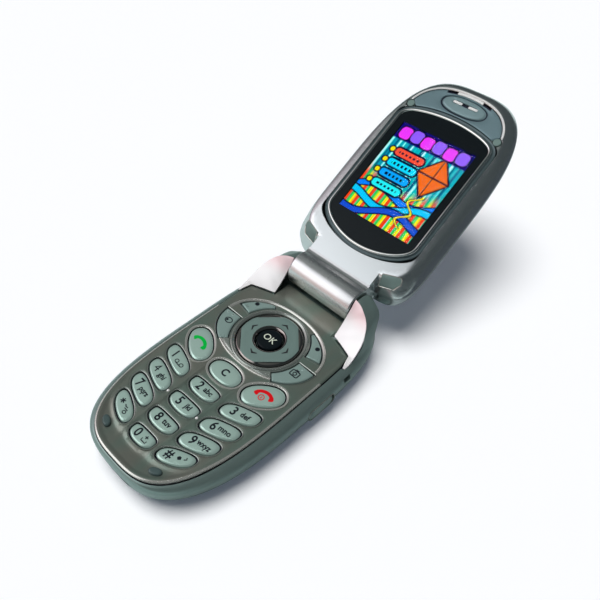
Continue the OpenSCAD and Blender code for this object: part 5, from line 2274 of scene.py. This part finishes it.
@dataclass
class Display(SubAssembly):
    """Window with its bright bezel, and the lit picture behind it."""

    width: float = 27.8
    height: float = 34.8
    middle: float = 40.98
    columns: int = 112
    rows: int = 140
    level: float = 2.62

    def bezel(self) -> None:
        """Build the bright bezel and the groove round it, darkened with painted shade."""
        path = window_outline(0.0)
        ring = [(0.02, 2.4), (0.0, 3.2), (0.1, 3.45), (0.32, 3.62), (0.6, 3.68), (0.85, 3.6),
            (1.05, 3.4), (1.12, 3.1), (1.12, 2.3)]
        self.piece("window_bezel_ring", swept(path, ring), Finish.TRIM, "lid", "window_bezel")
        groove = [(1.1, 2.0), (1.1, 2.75), (1.45, 2.5), (1.85, 2.5), (2.2, 2.68), (2.27, 2.5),
            (2.27, 2.0)]
        # The groove is painted darker for its shade.
        self.piece("window_groove", swept(path, groove), Finish.GROOVE, "lid")

    def window(self) -> None:
        """Build the black border and the clear pane."""
        w, h = self.width / 2, self.height / 2
        hole = box_outline(-w, self.middle - h, w, self.middle + h, 0.25, 3)
        plate = Plate(lambda x, y: np.full(np.shape(x), 3.25), 3.0)
        plate.border([(window_outline(-0.04), 3.25)], 2.4)
        plate.opening([(hole, 0.0)], 2.5)
        self.piece("window_border", plate.mesher(), Finish.BLACK, "lid", "window_lens",
            outward=False)
        pane = Mesher().loft([at(hole, z) for z in (2.75, 3.245)], start=True, end=True)
        self.piece("window_pane", pane, Finish.GLASS, "lid")

    def colour_at(self, u: Array, v: Array) -> Array:
        """Return the picture's colour: a kite over waves, plain bars and a row of beads.

        Args:
            u: Place across the display, from 0 to 1.
            v: Place up the display, from 0 to 1.

        Returns:
            Colours, one row for each place.
        """
        y = v * self.height / self.width
        line: Colour = (0.01, 0.02, 0.07)

        def paint(base: Array, share: Array, colour: Colour) -> Array:
            """Return the base with a colour laid over a share of it."""
            m = np.clip(share, 0, 1)[:, None]
            return base * (1 - m) + np.array(colour) * m

        def drawn(base: Array, far: Array, colour: Colour, edge: float = 0.014) -> Array:
            """Return the base with a dark-edged shape where far is below 0.

            Args:
                base: Colours under it.
                far: Distance from the shape.
                colour: The colour.
                edge: Width of its dark edge.

            Returns:
                The colours.
            """
            base = paint(base, 1 - smooth_step(far, edge, edge + 0.008), line)
            base = paint(base, 1 - smooth_step(far, -0.004, 0.004), colour)
            return base

        def bar(x: float, z: float, half: float, high: float) -> Array:
            """Return the distance from a bar with round ends."""
            dx = np.clip(np.abs(u - x) - half, 0, None)
            return np.hypot(dx, y - z) - high

        streak = np.sin(u * 71 + 0.7 * np.sin(v * 5)) + np.sin(u * 37 + 2) + np.sin(u * 113)
        out = np.stack([0.06 + 0 * u, 0.5 + 0.08 * streak, 0.55 + 0.05 * streak], 1)
        out = paint(out, smooth_step(streak, 0.8, 1.5), (0.62, 0.95, 0.95))
        out = paint(out, smooth_step(-streak, 0.9, 1.5), (0.02, 0.2, 0.3))
        warm = smooth_step(0.55 - v + 0.25 * np.abs(u - 0.5), 0.12, 0.3)
        out = paint(out, warm * smooth_step(np.sin(u * 53 + 1), 0.2, 0.7), (0.85, 0.2, 0.12))
        out = paint(out, warm * smooth_step(np.sin(u * 53 + 3.2), 0.3, 0.8), (0.85, 0.75, 0.15))
        out = paint(out, warm * smooth_step(np.sin(u * 53 + 5), 0.5, 0.9), (0.15, 0.6, 0.2))
        for k, tone in enumerate(((0.05, 0.35, 0.85), (0.08, 0.62, 0.9), (0.1, 0.2, 0.6))):
            crest = 0.34 - 0.13 * k + 0.07 * np.sin(6.5 * u + 1.9 * k) + 0.12 * u
            out = drawn(out, np.abs(y - crest) - 0.036, tone)
        kite = np.abs(u - 0.74) / 0.2 + np.abs(y - 0.8) / 0.26 - 1
        out = drawn(out, kite * 0.13, (0.9, 0.3, 0.08))
        cross = (np.abs(u - 0.74) < 0.012) | (np.abs(y - 0.8) < 0.012)
        out = paint(out, 0.8 * (cross & (kite < 0)), line)
        tail = np.abs(u - 0.74 - 0.06 * np.sin(y * 26)) - 0.012
        out = drawn(out, np.where((y < 0.55) & (y > 0.1), tail, 1.0), (0.95, 0.8, 0.2), 0.01)
        for k, tone in enumerate(((0.95, 0.25, 0.2), (0.1, 0.7, 0.95), (0.1, 0.5, 0.95),
                (0.2, 0.85, 0.85))):
            z = 0.9 - 0.15 * k
            out = drawn(out, bar(0.34, z, 0.15, 0.048), tone, 0.02)
            dots = bar(0.34, z, 0.13, 0.016) + 0.02 * (np.sin(u * 120 + k) > 0.1)
            out = paint(out, dots < 0, line)
            out = drawn(out, np.hypot(u - 0.1, y - z) - 0.03, (0.95, 0.75, 0.1))
        out = paint(out, smooth_step(y, 1.03, 1.05), (0.05, 0.04, 0.25))
        for k in range(6):
            x = 0.11 + 0.156 * k
            far = (np.abs((u - x) / 0.075) ** 3 + np.abs((y - 1.14 - 0.015 * (k % 2)) / 0.08) ** 3)
            tone = ((0.85, 0.25, 0.9), (0.45, 0.3, 0.95))[k % 2]
            out = drawn(out, (far - 1) * 0.03, tone, 0.02)
        return out

    def picture(self) -> None:
        """Build the lit picture, one face for each dot."""
        made = Mesher()
        xs = np.linspace(-self.width / 2, self.width / 2, self.columns + 1)
        ys = np.linspace(self.middle - self.height / 2, self.middle + self.height / 2,
            self.rows + 1)
        grid = np.array([(x, y, self.level) for y in ys for x in xs])
        made.row(grid)
        wide = self.columns + 1
        for j in range(self.rows):
            for i in range(self.columns):
                a = j * wide + i
                made.faces.append((a, a + 1, a + wide + 1, a + wide))
        obj = linked("display_picture", made.mesh("picture", LID, outward=False), Finish.PICTURE)
        data = obj.data
        i = np.arange(self.columns * self.rows) % self.columns
        j = np.arange(self.columns * self.rows) // self.columns
        colours = self.colour_at((i + 0.5) / self.columns, (j + 0.5) / self.rows)
        stripe = 1 + 0.12 * np.where(i % 3 == 0, 1.0, -0.5)
        middle = colours.mean(axis=1)[:, None]
        colours = np.clip(middle + (colours - middle) * 1.35, 0, 1) ** 1.5
        fringe = 1 + 0.3 * np.sin(2.1 * i[:, None] + 0.35 * np.sin(j[:, None] * 0.2)
            + np.array([0, 2.1, 4.2]))
        colours = np.clip(colours * stripe[:, None] * fringe * 1.1, 0, 1)
        attribute = data.attributes.new("picture", "FLOAT_COLOR", "CORNER")
        values = np.ones((len(data.loops), 4), np.float32)
        values[:, :3] = np.repeat(colours, 4, axis=0)
        attribute.data.foreach_set("color", values.ravel())
        self.keep(obj, "lid", Finish.PICTURE)

    def build(self) -> None:
        """Build bezel, window and picture."""
        self.bezel()
        self.window()
        self.picture()


@dataclass
class Earpiece(SubAssembly):
    """Plate above the window with the oval insert, its slot, and the small round covers."""

    top: float = 3.0
    centre: float = 71.5

    def build(self) -> None:
        """Build plate, insert, bright bar, rim line and covers."""
        shell = LidShell()
        oval = Egg(8, 3, 3, 2.3, 2.3, y=self.centre)
        pocket = Egg(8.42, 3.12, 3.42, 2.3, 2.3, y=self.centre)

        def height(x: Array, y: Array) -> Array:
            """Return the height of the plate, which dips round the oval."""
            dish = 1 - smooth_step(oval.level(x, y), 1.05, 1.35)
            return self.top - 0.28 * dish

        plate = Plate(height, 0.7)
        plate.border([(shell.plate_edge(-0.06), 2.7), (shell.plate_edge(-0.18), 2.92),
            (shell.plate_edge(-0.4), self.top)], 2.2)
        top_cut = self.notch()
        plate.opening([(pocket.outline(steps=120), 0.25), (pocket.outline(0.2, steps=120), 0)],
            2.25)
        plate.opening([(top_cut, 0.05)], 2.3)
        self.piece("ear_plate", plate.mesher(), Finish.EAR_PLATE, "lid", "earpiece_plate",
            outward=False, sharp=34)

        def crown(x: Array, y: Array) -> Array:
            """Return the height of the insert's crowned top."""
            level = oval.level(x, y)
            return 2.96 - 0.1 * level**2 - 0.5 * np.clip((level - 0.86) / 0.14, 0, 1) ** 2

        insert = Plate(crown, 0.5)
        insert.border([(oval.outline(steps=110), 2.3), (oval.outline(scale=0.97, steps=110), 2.6),
            (oval.outline(scale=0.92, steps=110), 2.78), (oval.outline(scale=0.86, steps=100),
            2.88)], 2.2)
        slot = box_outline(-4.6, 71.75, 4.6, 72.85, 0.5, 5)
        insert.opening([(slot, 0.22), (slot * np.array([1.04, 1]), 0.1)], 2.35)
        self.piece("ear_insert", insert.mesher(), Finish.EAR_INSERT, "lid", "earpiece_insert",
            outward=False, sharp=34)
        bar = Mesher()
        for x0, x1 in ((-4.5, -1.2), (1.2, 4.5)):
            bar.loft([np.c_[box_outline(x0, 71.9, x1, 72.75, 0.3, 3), np.full(16, z)]
                for z in (2.3, 2.72)], end=True)
        arc = self.notch(0.12, 4.7)
        bar.loft([at(arc, z) for z in (2.3, 2.95)], end=True)
        self.piece("ear_bright_strips", bar, Finish.WHITE, "lid", outward=False)
        floor = Mesher().loft([np.c_[shell.plate_edge(-0.3), np.full(170, 2.32)]], end=True)
        self.piece("ear_floor", floor, Finish.SHADOW, "lid", outward=False)
        self.rim_line(shell)
        covers = Mesher()
        for side in (1, -1):
            rings = [at(circle(side * 16.4, 65.4, r, 36), z) for r, z in ((1.28, 1.95),
                (1.28, 2.86), (1.2, 2.98), (1.0, 3.04), (0.6, 3.05))]
            covers.loft(rings, end=True)
        self.piece("screw_plugs", covers, Finish.BUMPER, "lid", "screw_covers", outward=False)

    def notch(self, inset: float = 0.0, half: float = 8.2) -> Array:
        """Return the arc-shaped opening above the oval.

        Args:
            inset: Distance inside the outline.
            half: Half its width.

        Returns:
            The points.
        """
        xs = np.linspace(-half, half, 24)
        top = np.stack([xs, 76.15 - inset - xs**2 * 0.016], 1)
        low = np.stack([xs, 75.05 + inset - xs**2 * 0.017], 1)
        return np.vstack([low, top[::-1]])

    def rim_line(self, shell: LidShell) -> None:
        """Build the bright line that runs over the plate from one round cover to the other.

        Args:
            shell: Not used.
        """
        arc = Egg(17.45, 14.4, 8, 2.5, 3, y=62).outline(steps=300)
        arc = arc[arc[:, 1] > 67.0]
        arc = arc[np.argsort(np.arctan2(arc[:, 1] - 62, arc[:, 0]))]
        profile = [(-0.3, 2.6), (-0.3, 2.98), (-0.12, 3.14), (0.12, 3.14), (0.34, 2.98), (0.4, 2.6)]
        self.piece("ear_rim_line", swept(arc, profile, closed=False), Finish.WHITE, "lid")


@dataclass
class OuterFace(SubAssembly):
    """What the closed phone shows on its lid: the outer window and the camera's glass."""

    depth: float = 6.25

    def build(self) -> None:
        """Build the outer window with its rim and the camera ring."""
        lens = Egg(12.5, 15, 15, 2.6, 2.6, y=45)
        rings = []
        for inset, z in ((0.0, 5.2), (0.0, 6.0), (0.12, 6.16), (0.4, 6.23), (1.2, 6.25)):
            plan = lens.outline(-inset, steps=120)
            rings.append(at(plan, -z))
        made = Mesher().loft(rings, end=True)
        self.piece("outer_window", made, Finish.BLACK, "lid", "outer_lens")
        ring = [(-0.6, -6.2), (-0.5, -6.36), (0.0, -6.42), (0.4, -6.3), (0.45, -6.2)]
        eye = swept(circle(0, 54.5, 3.1, 60), ring)
        self.piece("camera_ring", eye, Finish.TRIM, "lid")
        glass = Mesher().loft([at(circle(0, 54.5, r, 48), -z) for r, z in ((2.6, 6.22), (1.9, 6.3),
            (0.9, 6.34))], end=True)
        self.piece("camera_glass", glass, Finish.BLACK, "lid")


@dataclass
class Frame(SubAssembly):
    """The frame's own nodes that stay in view, or inside, and only need their finish."""

    finishes: dict[str, Finish] = field(default_factory=lambda: {"housing_grey": Finish.HOUSING,
        "panel_brown": Finish.PANEL, "silver_plastic": Finish.SILVER, "bright_trim": Finish.TRIM,
        "key_silver": Finish.KEY, "nav_grey": Finish.NAV, "gloss_black": Finish.BLACK,
        "bumper_rubber": Finish.BUMPER, "dark_rubber": Finish.RUBBER,
        "plate_blue_grey": Finish.EAR_PLATE, "window": Finish.GLASS,
        "display": Finish.DISPLAY_METAL, "cell": Finish.CELL, "contact_gold": Finish.GOLD,
        "board_green": Finish.BOARD, "steel": Finish.STEEL, "black_plastic": Finish.PLASTIC,
        "flex_amber": Finish.AMBER})

    def dress(self, frame: dict) -> None:
        """Give every node the finish of its slot.
        """
        slots = {s["node"]: s["material_slot"] for s in frame["record"]["subparts"]}
        for name, obj in frame["nodes"].items():
            finish = self.finishes.get(slots.get(name, ""), Finish.PLASTIC)
            obj.data.materials.clear()
            obj.data.materials.append(finish.material())


# ---- Studio ----


@dataclass(frozen=True)
class Lobe:
    """Light card in the surroundings: where its middle lies, how wide it is, its colour."""

    azimuth: float
    elevation: float
    inner: float
    outer: float
    colour: Colour

    def direction(self) -> Vector:
        """Return the direction of its middle."""
        a, e = radians(self.azimuth), radians(self.elevation)
        return Vector((cos(e) * cos(a), cos(e) * sin(a), sin(e)))


@dataclass
class Studio:
    """Pale floor, soft light and the camera at the photograph's angle."""

    camera_at: tuple[float, float, float] = (88.356, -68.662, 157.293)
    right: tuple[float, float, float] = (0.7172297, 0.6966151, 0.0175793)
    down: tuple[float, float, float] = (0.5157134, -0.513671, -0.685698)
    ahead: tuple[float, float, float] = (-0.4686376, 0.5008689, -0.7276738)
    lens: float = 37.82
    key_from: tuple[float, float, float] = (-0.135, -0.125, 0.983)
    key_power: float = 2.8
    key_angle: float = 36.0
    fill: float = 0.12
    base_tone: Colour = (0.04, 0.052, 0.055)
    lobes: tuple[Lobe, ...] = (Lobe(-132, 42, 18, 30, (0.98, 1.0, 1.03)), Lobe(-128, 38, 8, 20,
        (0.3, 0.28, 0.26)), Lobe(-117, 3, 14, 30, (0.6, 0.46, 0.43)), Lobe(165, 55, 4, 28,
        (0.13, 0.14, 0.13)), Lobe(-160, 30, 10, 26, (0.55, 0.46, 0.5)), Lobe(180, 2, 12, 32,
        (0.2, 0.17, 0.18)))

    def camera(self) -> None:
        """Place the camera."""
        data = bpy.data.cameras.new("camera")
        data.lens = self.lens
        data.sensor_width = 36
        data.clip_start, data.clip_end = 0.005, 20
        obj = bpy.data.objects.new("camera", data)
        bpy.context.scene.collection.objects.link(obj)
        x, y, z = Vector(self.right), -Vector(self.down), -Vector(self.ahead)
        turn = Matrix((x, y, z)).transposed().to_4x4()
        obj.matrix_world = Matrix.Translation(Vector(self.camera_at) * MM) @ turn
        bpy.context.scene.camera = obj

    def lights(self) -> None:
        """Set the soft key light and the surroundings that metal shows."""
        lamp = bpy.data.lights.new("key", "SUN")
        lamp.energy = self.key_power
        lamp.angle = radians(self.key_angle)
        obj = bpy.data.objects.new("key", lamp)
        bpy.context.scene.collection.objects.link(obj)
        obj.rotation_mode = "QUATERNION"
        obj.rotation_quaternion = Vector(self.key_from).to_track_quat("Z", "Y")
        obj.visible_glossy = False
        s = Surroundings("studio")
        where = s.node("ShaderNodeTexCoord", {}, {}).outputs["Generated"]
        path = s.node("ShaderNodeLightPath", {}, {})
        shown: object = self.base_tone
        for lobe in self.lobes:
            near = s.node("ShaderNodeVectorMath", {"operation": "DOT_PRODUCT"},
                {0: where, 1: lobe.direction()})
            share = Wire(s, near.outputs["Value"]).step(cos(radians(lobe.outer)),
                cos(radians(lobe.inner)))
            shown = s.node("ShaderNodeVectorMath", {"operation": "ADD"}, {0: shown,
                1: s.tinted(lobe.colour, share)}).outputs[0]
        shine, mix, white = (s.node("ShaderNodeBackground", {}, values).outputs[0]
            for values in ({"Color": shown}, {"Strength": self.fill}, {"Strength": 1.0}))
        for ray, back in (("Is Glossy Ray", shine), ("Is Camera Ray", white)):
            mix = s.node("ShaderNodeMixShader", {}, {0: path.outputs[ray], 1: mix,
                2: back}).outputs[0]
        s.node("ShaderNodeOutputWorld", {}, {"Surface": mix})

    def floor(self) -> None:
        """Lay the floor, white to the camera and with the phone's shadow; in reflections it is pale
        grey-green, with a painted shadow to the right of the phone.
        """
        made = Mesher().loft([at(circle(0, 0, 3000, 64), 0)], end=True)
        s = Shader("floor_paper")
        grain = s.noise(0.8, 2.0)
        s.finished((0.97, 0.97, 0.97), 1 + (grain - 0.5) * 0.01, None, 0.0, Roughness=0.9,
            Specular_IOR_Level=0.0, Emission_Color=(0.035, 0.045, 0.07), Emission_Strength=1.0)
        path = s.node("ShaderNodeLightPath", {}, {})
        split = s.node("ShaderNodeSeparateXYZ", {}, {0: s.place()})
        # Painted shadow: the floor seen in reflections is dark to the right of the phone, where its
        # shadow falls, and pale grey-green elsewhere.
        far = Wire(s, split.outputs["X"]).step(-0.005, 0.055) * Wire(s,
            split.outputs["Y"]).step(-0.08, -0.03)
        shown = s.mixed(far, (0.55, 0.66, 0.65), (0.05, 0.06, 0.07))
        reflected_floor_with_painted_shadow = s.node("ShaderNodeBsdfDiffuse", {}, {"Color": shown})
        mix = s.node("ShaderNodeMixShader", {}, {0: path.outputs["Is Glossy Ray"],
            1: s.surface.outputs[0], 2: reflected_floor_with_painted_shadow.outputs[0]})
        s.join(s.tree.nodes["Material Output"].inputs["Surface"], mix.outputs[0])
        obj = linked("floor", made.mesh("floor", outward=False))
        obj.data.materials.append(s.material)

    def build(self) -> None:
        """Set up camera, light and floor."""
        scene = bpy.context.scene
        scene.view_settings.view_transform = "Standard"
        self.camera()
        self.lights()
        self.floor()


def main() -> None:
    """Build the phone's looks round its frame."""
    logging.basicConfig(level=logging.INFO, format="%(name)s: %(message)s")
    for old in list(bpy.data.objects):
        bpy.data.objects.remove(old)
    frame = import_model()
    Studio().build()
    Frame().dress(frame)
    shell = BaseShell()
    shell.build()
    shell.caps()
    panel = KeyPanel()
    panel.build()
    panel.rim()
    panel.feet()
    Keypad().build()
    NavCluster().build()
    SideDetails().build()
    LidShell().build()
    Display().build()
    Earpiece().build()
    OuterFace().build()


if __name__ == "__main__":
    main()
